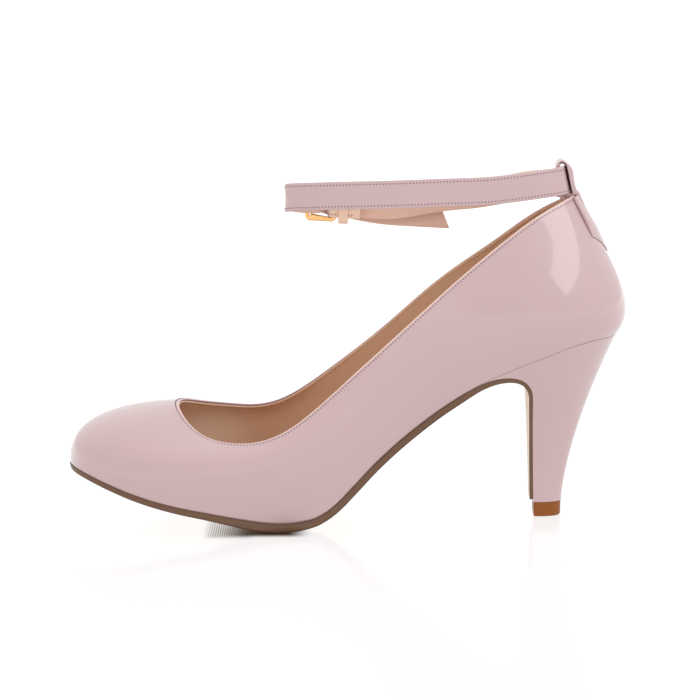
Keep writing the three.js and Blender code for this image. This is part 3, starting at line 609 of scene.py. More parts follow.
def gilt(name, colour):
    """Polished gilt metal with fine rubbing marks."""
    graph = Graph(name)
    rubbed = graph.noise(900, 3, stretch=(0.15, 1, 1))
    cloud = graph.noise(250, 2)
    return graph.finish(
        Base_Color=graph.mix(cloud, rgb(colour, 0.92), rgb(colour, 1.05)),
        Metallic=1.0,
        Roughness=0.16 + rubbed * 0.14,
        Normal=graph.bump(rubbed, 0.00003, 0.4),
    )


def thread(name, colour):
    """Twisted sewing thread."""
    graph = Graph(name)
    twist = graph.noise(3500, 2)
    return graph.finish(
        Base_Color=graph.mix(twist, rgb(colour, 0.8), rgb(colour, 1.15)),
        Roughness=0.6 + twist * 0.2,
        Sheen_Weight=0.2,
        Normal=graph.bump(twist, 0.00005, 0.6),
    )


def studio_floor(name, colour, shade):
    """A pale light table that glows evenly, with a faint reflection, and a painted contact shadow and painted
    reflection of the tread's ribs under the sole's ball.
    """
    graph = Graph(name)
    cloud = graph.noise(6, 3)
    x, y = graph.axis(0), graph.axis(1)
    # Painted contact shadow under the ball, and painted reflection of the tread's ribs just ahead of it.
    painted_contact_shadow = x.above(-0.141, -0.122) * (1 - x.above(-0.107, -0.0965))
    painted_contact_shadow = painted_contact_shadow * y.above(-0.0405, -0.0335) * (1 - y.above(-0.026, -0.01))
    painted_rib_reflection = x.above(-0.142, -0.137) * (1 - x.above(-0.124, -0.119)) * y.above(-0.043, -0.036)
    painted_rib_reflection = painted_rib_reflection * (1 - y.above(-0.012, 0.0)) * ((x * (TURN / 0.00092)).sine() * 0.4 + 0.6)
    dark = painted_contact_shadow + painted_rib_reflection * (1 - painted_contact_shadow) * 0.66
    glow = 0.8
    return graph.finish(
        Base_Color=graph.mix(dark, rgb(colour, 1 - glow), rgb(shade, 1 - glow)),
        Roughness=0.12 + cloud * 0.05,
        Specular_IOR_Level=0.16,
        Emission_Color=graph.mix(dark, rgb(colour, glow), rgb(shade, glow)),
        Emission_Strength=1.0,
        Normal=graph.bump(cloud, 0.00002, 0.1),
    )


# What a user would change

def length(name, description, default):
    """A length property in metres, from millimetres."""
    return bpy.props.FloatProperty(
        name=name, description=description, default=default * MM, min=0, unit="LENGTH", precision=5)


def colour(name, description, default):
    """A colour property."""
    return bpy.props.FloatVectorProperty(
        name=name, description=description, default=default, min=0, max=1, size=3, subtype="COLOR")


class PumpSizes(bpy.types.PropertyGroup):
    """Sizes of the leatherwork that the solids leave to the surface."""

    stitch_pitch: length("Stitch pitch", "From one stitch to the next", 1.35)
    stitch_thickness: length("Thread thickness", "Thickness of the sewing thread", 0.6)
    topline_margin: length("Topline margin", "From the topline to its row of stitches", 1.5)
    strap_margin: length("Strap margin", "From the strap's edge to its row of stitches", 1.3)
    cover_thickness: length("Cover thickness", "Thickness of the patent leather of the upper", 1.0)
    rib_pitch: length("Rib pitch", "From one tread rib to the next", 1.4)


class PumpColours(bpy.types.PropertyGroup):
    """Colours of the shoe's materials."""

    patent: colour("Patent leather", "Upper, heel and strap", (0.56, 0.385, 0.39))
    lining: colour("Lining", "Inside of the upper", (0.71, 0.44, 0.285))
    footbed: colour("Footbed", "Sock of the insole", (0.62, 0.38, 0.25))
    strap_back: colour("Strap back", "Skin side of the ankle strap", (0.82, 0.54, 0.43))
    # Also the painted highlight along the near side's topline.
    raw_edge_and_highlight: colour("Raw edge", "Cut edges and skin side of the patent leather", (0.88, 0.64, 0.5))
    # Painted light on the lining towards the toe.
    lining_painted_light: colour("Lining in front", "The lining towards the toe", (0.95, 0.74, 0.58))
    # Painted shade for the slot in the loop and the punched holes.
    hollow: colour("Hollows", "The slot in the loop and the punched holes", (0.05, 0.012, 0.014))
    sole_edge: colour("Sole edge", "Stained edge of the sole", (0.155, 0.078, 0.043))
    sole_face: colour("Sole face", "Underside and breast", (0.86, 0.74, 0.62))
    tip: colour("Top piece", "Wearing tip of the heel", (0.27, 0.072, 0.004))
    metal: colour("Buckle", "Gilt metal", (0.87, 0.5, 0.2))
    lining_thread: colour("Lining thread", "Sewing thread inside", (0.42, 0.24, 0.14))
    # The thread's colour with the shade of its stitch holes painted in, which makes it darker than the
    # leather.
    thread: colour("Thread", "Sewing thread", (0.19, 0.085, 0.1))
    floor: colour("Floor", "Studio floor", (0.93, 0.925, 0.925))
    # Painted shadow and painted reflection under the ball of the sole.
    floor_shade: colour("Floor shade", "Under the ball of the sole", (0.05, 0.03, 0.018))


class StageSettings(bpy.types.PropertyGroup):
    """The studio."""

    daylight: bpy.props.FloatProperty(
        name="Surround", description="Strength of the white surround", default=1.0, min=0)
    window: bpy.props.FloatProperty(
        name="Window", description="Power of the tall soft light, in watts", default=1.6, min=0)
    top: bpy.props.FloatProperty(
        name="Overhead", description="Power of the overhead light, in watts", default=2.5, min=0)


def size(key):
    """One of the user's lengths in millimetres."""
    return getattr(bpy.context.scene.pump_sizes, key) / MM


def coloured(make, name, *keys):
    """A material in the user's colours, made once and used by several pieces."""
    inks = (tuple(getattr(bpy.context.scene.pump_colours, key)) for key in keys)
    return bpy.data.materials.get(name) or make(name, *inks)


def blush():
    return coloured(patent, "blush patent", "patent", "raw_edge_and_highlight")


def hollow():
    return coloured(dull, "hollow", "hollow")


# Upper

def upper_cover():
    """The patent cover: up the outside from the feather edge, half round over the topline, and down inside.

    With the shares of its marks: a painted highlight in cream along the near side's topline, and painted
    shade along the far side's.
    """
    thickness = size("cover_thickness")
    turned = 0.5 * thickness
    angles = np.linspace(0, TURN, ROUND, endpoint=False)
    near_side = np.clip(-rim_point(angles)[:, 1] / 3, 0, 1)
    below = up_below_rim(angles, COLLAR)
    rim = upper_offset(angles, 1, 0)
    normal = unit(upper_offset(angles, 1, 1) - rim)
    tangent = unit(upper_rising(angles, np.ones_like(angles)))
    plain = 0 * angles
    layers = [(upper_offset(angles, below * up, 0), plain) for up in np.linspace(0, 1, 56)[:-1]]
    for depth in np.linspace(COLLAR, turned, 26):
        # Painted highlight: the top of the outer face on the near side in cream.
        raw = near_side * np.clip((0.62 - depth) / 0.2, 0, 0.8)
        layers.append((upper_offset(angles, up_below_rim(angles, depth), 0), raw))
    for phi in np.linspace(0, math.pi, 9)[1:]:
        row = rim + normal * turned * (math.cos(phi) - 1) + tangent * turned * (math.sin(phi) - 1)
        # Over the half round: painted highlight on the near side, and painted shade on the far side's inner
        # half.
        layers.append((row, near_side * 0.8 - (1 - near_side) * (phi > 0.4 * math.pi)))
    for depth in np.linspace(turned + 0.6, COLLAR, 5):
        layers.append((upper_offset(angles, up_below_rim(angles, depth), -thickness), plain))
    layers += [(upper_offset(angles, below * up, -thickness), plain) for up in np.linspace(1, 0, 24)[1:]]
    points, marks = (np.stack(rows) for rows in zip(*layers, layers[0]))
    return points, np.maximum(marks, 0), np.maximum(-marks, 0)


def upper_lining():
    """The lining: the cover's inner side again, further in, with its trimmed edge just below the topline."""
    outer_face = size("cover_thickness") + 0.02
    inner_face = WALL - 0.1
    trim = 0.25
    angles = np.linspace(0, TURN, ROUND, endpoint=False)
    top = up_below_rim(angles, trim)
    rows = [(top * up, outer_face) for up in np.linspace(0, 1, 30)]
    rows.append((up_below_rim(angles, trim - 0.1), outer_face + 0.2))
    rows.append((up_below_rim(angles, trim - 0.05), inner_face - 0.15))
    rows += [(top * up, inner_face) for up in np.linspace(0.995, 0, 60)]
    return np.stack([upper_offset(angles, up, -depth) for up, depth in rows + rows[:1]])


def stitches_along(path, facing):
    """A row of stitches along a path: evenly spaced beads drawn out along it, half sunk in the leather.

    Each bead's axis lies along the row, and its sections are circles whose radius follows a power of one
    minus the square of the place along it.
    """
    pitch = size("stitch_pitch")
    run = running(path)
    count = int(run[-1] / pitch)
    at = (np.arange(count) + 0.5) * run[-1] / count
    along = unit(sampled(at + 0.2, run, path) - sampled(at - 0.2, run, path))
    out = unit(sampled(at, run, facing))
    across = np.cross(along, out)
    t = np.linspace(-1, 1, 8)[:, None]
    phi = np.linspace(0, TURN, 8, endpoint=False)
    radius = 0.5 * size("stitch_thickness") * np.sqrt(1 - t**2) ** 0.7
    places = (sampled(at, run, path), along, across, out)
    middle, along, across, out = (v[:, None, None] for v in places)
    lengthwise = (0.5 * pitch * STITCH_SHARE * t + 0 * phi)[..., None]
    beads = middle + along * lengthwise
    beads = beads + across * (radius * np.cos(phi))[..., None] + out * (radius * np.sin(phi))[..., None]
    quads = loop_faces(*beads.shape[1:3]) + (np.arange(count) * t.size * phi.size)[:, None, None]
    return beads.reshape(-1, 3), quads.reshape(-1, 4)


def topline_stitches(out):
    """Stitches round the topline, on the cover (out = 0) or on the lining, where they face inwards."""
    angles = np.linspace(0, TURN, 2000)
    up = up_below_rim(angles, size("topline_margin"))
    path = upper_offset(angles, up, out)
    facing = unit(upper_offset(angles, up, out + 1) - path)
    return stitches_along(path, -facing if out < -0.5 else facing)


# Insole

def footbed_points():
    """The footbed: a plate inside the feather edge, crowned a little across."""
    angles = np.linspace(0, TURN, 256, endpoint=False)
    edge = foot_point(angles) - outward(foot_point, angles) * (WALL + 0.15)
    rows = [(t, INSOLE_THICKNESS + 0.45 * (1 - t * t)) for t in np.linspace(0, 1, 16)]
    rows += [(1, INSOLE_THICKNESS - 0.7 * (1 - math.cos(phi))) for phi in np.linspace(0, math.pi / 2, 5)[1:]]
    rows += [(1, 0), (0, 0)]
    floor = feather_height(edge[:, 0]) + SEAM_GAP
    return np.stack([stack(edge[:, 0], edge[:, 1] * t, floor + height) for t, height in rows])


# Sole and heel

BREAST_TOP = (-0.6 * TIP_LENGTH, 0.65 * SEAT_HEIGHT)
BREAST_FOOT = (-0.5 * TIP_LENGTH, TOP_PIECE_HEIGHT + GAP)
WING_START = 0.26
FLAP_END = 1.2
HEEL_FRONT = math.acos(1 - 2 * (WING_START + 0.035))
TIP_SCALE = (TIP_LENGTH / (SEAT_SET_BACK + 0.6 * TIP_LENGTH), TIP_WIDTH / SEAT_WIDTH)


def sole_top_line():
    """The sole's top from the side: the feather edge, a Bezier curve over the arch, and down the breast."""
    start = SEAT_SET_BACK - WING_START * SHOE_LENGTH
    fore_x = TOE_TIP + (start - TOE_TIP) * (1 - np.cos(np.linspace(0, math.pi / 2, 150)))
    fore = np.stack([fore_x, feather_height(fore_x)], -1)
    rising = (0.38 * (BREAST_TOP[0] - start), 0.068 * SEAT_HEIGHT)
    p0 = np.array([start, float(feather_height(np.array(start)))])
    p1 = p0 + rising
    p2 = np.array([BREAST_TOP[0] + 0.4, BREAST_TOP[1] + 0.19 * SEAT_HEIGHT])
    p3 = np.array(BREAST_TOP)
    t = np.linspace(0, 1, 50)[1:, None]
    arch = p0 * (1 - t) ** 3 + p1 * 3 * (1 - t) ** 2 * t + p2 * 3 * (1 - t) * t * t + p3 * t**3
    z = np.linspace(BREAST_TOP[1], BREAST_FOOT[1] + FLAP_END, 40)[1:]
    slope = (BREAST_FOOT[0] - BREAST_TOP[0]) / (BREAST_TOP[1] - BREAST_FOOT[1])
    down = np.stack([BREAST_TOP[0] + (BREAST_TOP[1] - z) * slope, z], -1)
    return np.concatenate([fore, arch, down])


def line_normals(line):
    """Unit vectors square to a side-view line, towards the underside."""
    along = np.gradient(line, axis=0)
    along /= np.linalg.norm(along, axis=1, keepdims=True)
    return np.stack([along[:, 1], -along[:, 0]], -1)


def sole_thickness(line):
    """Thickness along the line: by the table, and thinner where the sole becomes the breast's flap."""
    run = running(line)
    arch_start = np.argmin(np.abs(line[:, 0] - (SEAT_SET_BACK - WING_START * SHOE_LENGTH)))
    from_arch = np.clip((run - run[arch_start] - 2) / 42, 0, 1)
    full = thick_at((SEAT_SET_BACK - line[:, 0]) / SHOE_LENGTH)
    return SOLE_THICKNESS * (full + (np.minimum(full, 0.45) - full) * from_arch)


def heel_point(angle, down):
    """The heel: from the seat's outline to the tip's, drawn in by powers of the share down, sides first."""
    seat = foot_point(angle)
    back = np.maximum(seat[..., 0], BREAST_TOP[0])
    front = np.minimum(0, seat[..., 0] - BREAST_TOP[0])
    tip_x = TIP_LENGTH / 2 - (SEAT_SET_BACK - back) * TIP_SCALE[0] + front * 0.12
    tip_y = seat[..., 1] * TIP_SCALE[1]
    in_back = 1 - (1 - down) ** 1.5
    in_side = 1 - (1 - down) ** 2
    return stack(
        seat[..., 0] + (tip_x - seat[..., 0]) * in_back,
        seat[..., 1] + (tip_y - seat[..., 1]) * in_side,
        seat[..., 2] + (TOP_PIECE_HEIGHT + GAP - seat[..., 2]) * down,
    )


def heel_angle(x, z):
    """The angle round the heel whose surface is seen from the side at a place, and its share down there."""
    def share_down(angle):
        seat_z = feather_height(SEAT_SET_BACK - SHOE_LENGTH * (1 - np.cos(angle)) / 2)
        return np.clip((seat_z - z) / (seat_z - TOP_PIECE_HEIGHT - GAP), 0, 1)

    def behind(angle):
        return heel_point(angle, share_down(angle))[..., 0] > x

    angle = halved(np.zeros_like(x), np.full_like(x, HEEL_FRONT + 0.25), behind, 44)
    return angle, share_down(angle)


def side_edge(x, z, side):
    """The bottom's y at a place seen from the side: the feather edge's ahead of the wing, then the heel's."""
    share = np.clip((SEAT_SET_BACK - x) / SHOE_LENGTH, 0, 1)
    angle = np.arccos(1 - 2 * share)
    fore = foot_point(side * angle)[..., 1]
    wing_angle, down = heel_angle(x, z)
    wing = heel_point(side * wing_angle, down)[..., 1]
    start = SEAT_SET_BACK - SHOE_LENGTH * (1 - math.cos(HEEL_FRONT - 0.06)) / 2
    blend = np.clip((x - start + 4) / 8, 0, 1)
    blend = blend * blend * (3 - 2 * blend)
    return fore + (wing - fore) * blend


def outsole_points():
    """The sole: at each place along its top line a section with rounded edges, cut flat by the floor.

    With its quads and marks: 1 on the edge, and the share of the thickness down. Fine cross ribbing under the
    ball.
    """
    line = sole_top_line()
    normals, thickness = line_normals(line), sole_thickness(line)
    rib_pitch = size("rib_pitch")

    def place(depth):
        at = line + normals * (thickness * depth)[:, None]
        return at[:, 0], np.maximum(at[:, 1], 0)

    def inside(depth, t):
        x, z = place(depth)
        low, high = side_edge(x, z, 1), side_edge(x, z, -1)
        ribbed = depth * (abs(t) < 0.9) * np.exp(-(((x + 118) / 34) ** 2))
        cut = 0.25 * ribbed * (0.5 - 0.5 * np.cos(x * TURN / rib_pitch))
        return stack(x, low + (high - low) * (t + 1) / 2, z + cut * (z > 0.02)), 0, depth

    def edge(depth, side):
        x, z = place(depth)
        y = side_edge(x, z, side)
        bulge = 0.22 * math.sin(math.pi * depth) - 0.25 * max(0, (depth - 0.8) / 0.2) ** 2
        return stack(x, y + np.sign(y) * bulge, z), 1, depth

    across, down = np.linspace(-1, 1, 25)[1:-1], np.linspace(0, 1, 9)
    columns = [inside(0, t) for t in across] + [edge(depth, -1) for depth in down]
    columns += [inside(1, t) for t in across[::-1]] + [edge(depth, 1) for depth in down[::-1]]
    points, edges, depths = zip(*columns)
    edges, depths = (np.tile(marks, (len(line) + 2, 1)).astype(float) for marks in (edges, depths))
    edges[0], depths[0] = 1, 0.5
    return *capped_tube(np.stack(points, axis=1)), edges, depths


def heel_points():
    """The heel: both flanks down to the tip or to the front line, joined below and above from side to side.

    The columns ahead end at even steps along the front line; those behind go down to the tip.
    """
    line = sole_top_line()
    line = respaced(line - line_normals(line) * SEAM_GAP, 4000)
    foot = TOP_PIECE_HEIGHT + GAP
    start = heel_point(np.array(HEEL_FRONT - 0.02), np.array(0.0))
    line = line[(line[:, 0] > start[0]) & (line[:, 1] > foot)]
    ends = respaced(np.concatenate([line, [[line[-1, 0], foot]]]), 90)
    angles, downs = heel_angle(ends[:, 0], ends[:, 1])
    rear = np.linspace(angles[-1], 0, 50)[1:]
    angles = np.concatenate([angles, rear])
    downs = np.concatenate([downs, np.ones_like(rear)])
    shares = np.linspace(0, 1, 60)
    across = np.linspace(0, 1, 13)[1:-1]
    inner = [heel_point(angles, downs * s) for s in shares]
    outer = [heel_point(-angles, downs * s) for s in shares[::-1]]
    under = [inner[-1] + (outer[0] - inner[-1]) * t for t in across]
    over = [outer[-1] + (inner[0] - outer[-1]) * t for t in across]
    points = np.stack(inner + under + outer + over, axis=1)
    front = np.repeat(points[:1].mean(axis=1, keepdims=True), points.shape[1], axis=1)
    return np.concatenate([front, points])


def top_piece_points():
    """The wearing tip: the heel's foot outline, level by level, with a rounded lower edge."""
    front = math.acos(1 - 2 * (SEAT_SET_BACK - BREAST_TOP[0]) / SHOE_LENGTH)
    side = np.linspace(front, 0, 40)
    angles = np.concatenate([side, -side[::-1][1:]])
    outline = heel_point(angles, np.ones_like(angles))
    front_edge = outline[-1] + (outline[0] - outline[-1]) * np.linspace(0, 1, 16)[1:-1, None]
    outline = np.concatenate([outline, front_edge])
    top = TOP_PIECE_HEIGHT + GAP - SEAM_GAP
    levels = [(top, 0.4), (top - 0.25, 0.22)]
    levels += [(z, 0.24 + 0.02 * (5 - z)) for z in np.linspace(5.6, 0.9, 12)]
    for turn in np.linspace(0, math.pi / 2, 7)[1:]:
        levels.append((0.9 - 0.9 * math.sin(turn), 0.34 + 0.7 * (1 - math.cos(turn))))
    rings = []
    for z, inset in levels:
        ring = outline.copy()
        ring[:, 0] *= 1 - 2 * inset / TIP_LENGTH
        ring[:, 1] *= 1 - 2 * inset / TIP_WIDTH
        ring[:, 2] = z
        rings.append(ring)
    return np.stack(rings)


# Backstay and loop

def backstay_sheet(out, columns=49, rows=49):
    """A sheet over the back of the upper: wide at its lower corners, pointed below and narrow above."""
    full = float(np.linalg.norm(upper_point(0.0, 1.0) - upper_point(0.0, 0.0)))
    low, corner, top = 1 - BACKSTAY_DROP / full, 1 - BACKSTAY_CORNER / full, 0.99
    across, t = np.meshgrid(np.linspace(-1, 1, columns), np.linspace(0, 1, rows))
    bottom = low + (corner - low) * np.abs(across) ** 0.8
    up = bottom + (top - bottom) * t
    out = out * (0.3 + 0.7 * np.clip(t / 0.4, 0, 1) ** 0.7)
    above = np.maximum(0, (up - corner) / (top - corner))
    half = BACKSTAY_WIDTH / 2 * (1 - 0.3 * above)
    return upper_offset(back_angle(-across * half, up), up, out)


def slab_from(sheets):
    """A closed plate from sheets of points stacked from its back to its face."""
    count, rows, columns = sheets.shape[:3]
    points = sheets.reshape(-1, 3)
    per = rows * columns
    i = np.concatenate([
        np.zeros(columns - 1, int), np.arange(rows - 1),
        np.full(columns - 1, rows - 1), np.arange(rows - 1, 0, -1)])
    j = np.concatenate([
        np.arange(columns - 1), np.full(rows - 1, columns - 1),
        np.arange(columns - 1, 0, -1), np.zeros(rows - 1, int)])
    rim = i * columns + j
    following = np.roll(rim, -1)
    sides = [
        np.stack([rim + s * per, following + s * per, following + (s + 1) * per, rim + (s + 1) * per], -1)
        for s in range(count - 1)]
    back = grid_faces(rows, columns)[:, ::-1]
    face = grid_faces(rows, columns) + (count - 1) * per
    return points, np.concatenate([back, face] + sides)


def soft_section(width, thickness, soft, per_corner=4, per_face=11):
    """A flat strip's section: a rectangle with quarter-round corners, as pairs across and through it."""
    w, t = width / 2, thickness / 2
    corners = [(w - soft, -t + soft, -0.25), (w - soft, t - soft, 0), (-w + soft, t - soft, 0.25),
               (-w + soft, -t + soft, 0.5)]
    pairs = []
    for cx, cy, start in corners:
        for a in np.linspace(start, start + 0.25, per_corner + 1) * TURN:
            pairs.append((cx + soft * math.cos(a), cy + soft * math.sin(a)))
        if start in (0, 0.5):
            direction = -1 if start == 0 else 1
            for s in np.linspace(0, 1, per_face + 2)[1:-1]:
                pairs.append((direction * (w - soft) * (2 * s - 1), cy + (soft if start == 0 else -soft)))
    return np.array(pairs)


def square_ways(path, across):
    """Unit vectors along a path, and those of a section's width and thickness, square to it."""
    along = unit(np.gradient(path, axis=0))
    wide = unit(across - along * np.sum(across * along, axis=1, keepdims=True))
    return along, wide, np.cross(along, wide)


def carried(path, section, across, slant=0.0, deepening=1.0, widening=1.0):
    """A section carried along a path: across points the section's width, square to the path.

    The last end is slanted; deepening and widening are the factors of the section's thickness and width at
    each point of the path.
    """
    along, wide, deep = square_ways(path, np.broadcast_to(across, path.shape))
    deep = deep * np.broadcast_to(deepening, len(path))[:, None]
    wide = wide * np.broadcast_to(widening, len(path))[:, None]
    u, v = section[:, :1], section[:, 1:]
    end = np.zeros((len(path), 1, 1))
    end[-8:, 0, 0] = slant * np.linspace(0, 1, 8)
    rings = path[:, None] + wide[:, None] * u + deep[:, None] * v
    return rings - along[:, None] * (u / np.abs(u).max()) * end


def ring_tangents(path):
    """Unit vectors along a path that closes on itself."""
    return unit(np.roll(path, -1, axis=0) - np.roll(path, 1, axis=0))


def carried_round(path, square, section):
    """A section carried round a closed flat path: its pairs lie inwards in that plane, and along square."""
    inwards = np.cross(ring_tangents(path), square)
    rings = path[:, None] + inwards[:, None] * section[..., :1] + square * section[..., 1:]
    return np.concatenate([rings, rings[:1]])


def strap_point(row):
    """A point of the strap's middle line from its shares."""
    far, side, fall = np.asarray(row, float).T
    return stack(LOOP_X - far * STRAP_REACH, side * STRAP_SPREAD, STRAP_HEIGHT - fall * STRAP_FALL)


BACK_BAR_POINT = strap_point(BACK_BAR)
FRONT_BAR_POINT = strap_point(FRONT_BAR)
BUCKLE_ALONG = unit(BACK_BAR_POINT - FRONT_BAR_POINT)
BUCKLE_ACROSS = unit(UP - BUCKLE_ALONG * BUCKLE_ALONG[2])
BUCKLE_OUT = np.cross(BUCKLE_ACROSS, BUCKLE_ALONG)
BUCKLE_MIDDLE = (BACK_BAR_POINT + FRONT_BAR_POINT) / 2
HALF_BUCKLE = float(np.linalg.norm(BACK_BAR_POINT - FRONT_BAR_POINT)) / 2
BAR_GAP = STRAP_THICKNESS / 2 + GAP + 0.8 * FRAME_DEPTH


def buckled(along, out, across=0.0):
    """A point in the buckle's own plane: along the strap, outwards and across it."""
    along, out, across = (np.asarray(v, float)[..., None] for v in (along, out, across))
    return BUCKLE_MIDDLE + BUCKLE_ALONG * along + BUCKLE_OUT * out + BUCKLE_ACROSS * across


def smooth_path(points, spacing):
    """A centripetal Catmull-Rom curve through the points, resampled to an even spacing."""
    points = np.asarray(points, float)
    before = 2 * points[0] - points[1]
    after = 2 * points[-1] - points[-2]
    whole = np.concatenate([[before], points, [after]])
    p0, p1, p2, p3 = whole[:-3], whole[1:-2], whole[2:-1], whole[3:]

    def knot(a, b):
        return np.maximum(np.sum((b - a) ** 2, axis=1) ** 0.25, 1e-4)[:, None]

    d0, d1, d2 = knot(p0, p1), knot(p1, p2), knot(p2, p3)
    m1 = ((p1 - p0) / d0 - (p2 - p0) / (d0 + d1) + (p2 - p1) / d1) * d1
    m2 = ((p2 - p1) / d1 - (p3 - p1) / (d1 + d2) + (p3 - p2) / d2) * d1
    t = np.linspace(0, 1, 60, endpoint=False)[None, :, None]
    a, b, m, n = (v[:, None] for v in (p1, p2, m1, m2))
    curve = a * (2 * t**3 - 3 * t**2 + 1) + m * (t**3 - 2 * t**2 + t)
    curve = curve + b * (3 * t**2 - 2 * t**3) + n * (t**3 - t**2)
    curve = np.concatenate([curve.reshape(-1, 3), points[-1:]])
    return respaced(curve, max(2, int(running(curve)[-1] / spacing)))


def strap_line():
    """The strap's middle line: its folded end, round the buckle's bar, round the ankle, and its free end."""
    short = buckled(HALF_BUCKLE + np.linspace(FOLD_BACK, 2, 4), np.full(4, -BAR_GAP))
    turns = np.linspace(1, 0, 7) * math.pi
    bend = buckled(HALF_BUCKLE - BAR_GAP * np.sin(turns), BAR_GAP * np.cos(turns))
    over = BAR_GAP + STRAP_THICKNESS + GAP + 0.05
    passing = buckled(
        np.array([-HALF_BUCKLE - 2.2, -HALF_BUCKLE, -0.45 * HALF_BUCKLE, 0.2 * HALF_BUCKLE, HALF_BUCKLE]),
        np.array([-BAR_GAP - 0.5, -BAR_GAP - 0.15, -BAR_GAP + 0.75, 0.6 * over, over]))
    points = np.concatenate([
        short, bend, strap_point(STRAP_BASE), strap_point(STRAP_INNER), passing, strap_point(STRAP_TAIL)])
    return smooth_path(points, 0.45)


def narrowing(path):
    """The factor of the strap's width: slimmer on the far side from its front bend to within the buckle."""
    along = (path - BUCKLE_MIDDLE) @ BUCKLE_ALONG
    started = np.clip((path[:, 1] - 1) / 4, 0, 1) * (np.arange(len(path)) > len(path) / 2)
    ended = np.clip((along + 0.5) / 4, 0, 1)
    share = started * (1 - ended)
    return 1 - 0.22 * share * share * (3 - 2 * share)


def strap_across(path):
    """The way of the strap's width: upright, and leaning in the loop."""
    in_loop = np.maximum(0, 1 - (LOOP_X - path[:, 0]) / STRAP_SPREAD)
    return stack(-STRAP_LEAN * in_loop, 0.0, 1.0)


def strap_stitches():
    """Both rows of stitches on the strap's face, a margin from its edges and clear of its ends."""
    path = strap_line()
    _, wide, deep = square_ways(path, strap_across(path))
    edge = wide * (STRAP_WIDTH / 2 - size("strap_margin")) * narrowing(path)[:, None]
    facing = deep * STRAP_FACE
    rows = [path + edge * side + facing * (STRAP_THICKNESS / 2 - 0.06) for side in (-1, 1)]
    return joined([stitches_along(row[6:-8], facing[6:-8]) for row in rows])


def holes(path):
    """Dark plugs for the three holes punched through the free end, a pitch apart from the one in use, painted
    as the shade inside them.
    """
    used = buckled(0.4 * HALF_BUCKLE, 0)
    start = int(np.flatnonzero((path[:, 1] > 0) & (path[:, 0] < used[0]))[-1])
    run = running(path[start:])[1:]
    turns = np.linspace(0, TURN, 24, endpoint=False)
    parts = []
    for n in (1, 2, 3):
        i = start + 1 + int(np.searchsorted(run, n * HOLE_PITCH))
        along = unit(path[i + 1] - path[i - 1])
        wide = unit(UP - along * along[2])
        circle = HOLE_RADIUS * (along * np.cos(turns)[:, None] + wide * np.sin(turns)[:, None])
        depth = (STRAP_THICKNESS / 2 + 0.03) * np.cross(along, wide)
        parts.append(capped_tube(np.stack([path[i] + circle + depth * t for t in (1, 0, -1)])))
    return joined(parts)


def folded_end(points):
    """1 on the ply that lies folded on the ankle side behind the buckle, and 0 elsewhere."""
    from_buckle = points - BUCKLE_MIDDLE
    along = from_buckle @ BUCKLE_ALONG
    out = from_buckle @ BUCKLE_OUT
    return ((along > HALF_BUCKLE * 0.6) & (along < 40) & (np.abs(out) < 12) & (out < 0)).astype(float)


def beside_strap(rows, clear):
    """Points round the strap in its loop, from shares of its width upwards and of a clearance backwards."""
    lift, side = np.asarray(rows, float).T
    lift = lift * STRAP_WIDTH
    return stack(LOOP_X + side * clear - STRAP_LEAN * lift, 0.0, STRAP_HEIGHT + lift)


def loop_slot_shade_line():
    """The middle of the slot between strap and loop, from the strap's lower edge to over its top, where a
    dark strip is put as painted shade.
    """
    rows = [(-0.5, 1), (-0.3, 1), (0, 1), (0.3, 1), (0.47, 0.95), (0.555, 0.35), (0.56, -0.4), (0.53, -1.1)]
    return smooth_path(beside_strap(rows, STRAP_THICKNESS / 2 + LOOP_SLOT / 2), 0.3)


def loop_foot_line():
    """The end of the loop that turns under the strap's lower edge to the collar."""
    rows = [(-0.59, -2.7), (-0.63, -1.2), (-0.63, 0.4), (-0.6, 1.5)]
    return smooth_path(beside_strap(rows, 1.95), 0.3)


def loop_lining_line():
    """The middle of the loop's inner ply behind the strap, which fills it out to the slot."""
    rows = np.array([(-0.6, 1.75), (-0.457, 1.3), (-0.095, 1.2), (0.305, 1.28), (0.5, 0.75)])
    clear = STRAP_THICKNESS / 2 + GAP + LOOP_THICKNESS / 2
    rows[:, 1] = (rows[:, 1] * clear + STRAP_THICKNESS / 2 + LOOP_SLOT) / 2
    return smooth_path(beside_strap(rows, 1.0), 0.3)


def loop_line():
    """The loop's middle line: up the back of the upper, over the strap and down inside the collar."""
    half = LOOP_THICKNESS / 2
    clear = STRAP_THICKNESS / 2 + GAP + half
    outside = upper_offset(0, (0.86, 0.92, 0.985), np.array([0.35, 0.7, 1.0]) * (GAP + half))
    inside = upper_offset(0, (0.93, 0.88, 0.83, 0.76), -WALL - 4 * GAP - half)
    rows = np.array([
        (-0.57, 1.9), (-0.457, 1.3), (-0.095, 1.2), (0.305, 1.28), (0.58, -0.1),
        (0.305, -1.5), (-0.095, -1.5), (-0.43, -1.6), (-0.65, -1.75)])
    over = beside_strap(rows, clear)
    return smooth_path(np.concatenate([outside, over, inside]), 0.3)


def loop_thickness(path):
    """The loop's thickness along its line: doubled behind the strap, by a bell round its lower half."""
    behind = np.clip((path[:, 0] - LOOP_X) / 1.2, 0, 1)
    free = np.clip((path[:, 2] - BACK_HEIGHT) / 1.5, 0, 1)
    lift = (path[:, 2] - STRAP_HEIGHT) / STRAP_WIDTH
    foot = 0.35 + 0.65 * np.clip(np.linspace(0, len(path) * 0.3, len(path)) / 6, 0, 1)
    bell = np.exp(-(((lift + 0.4) / 0.8) ** 2))
    return LOOP_THICKNESS * foot + LOOP_DOUBLING * behind * free * bell


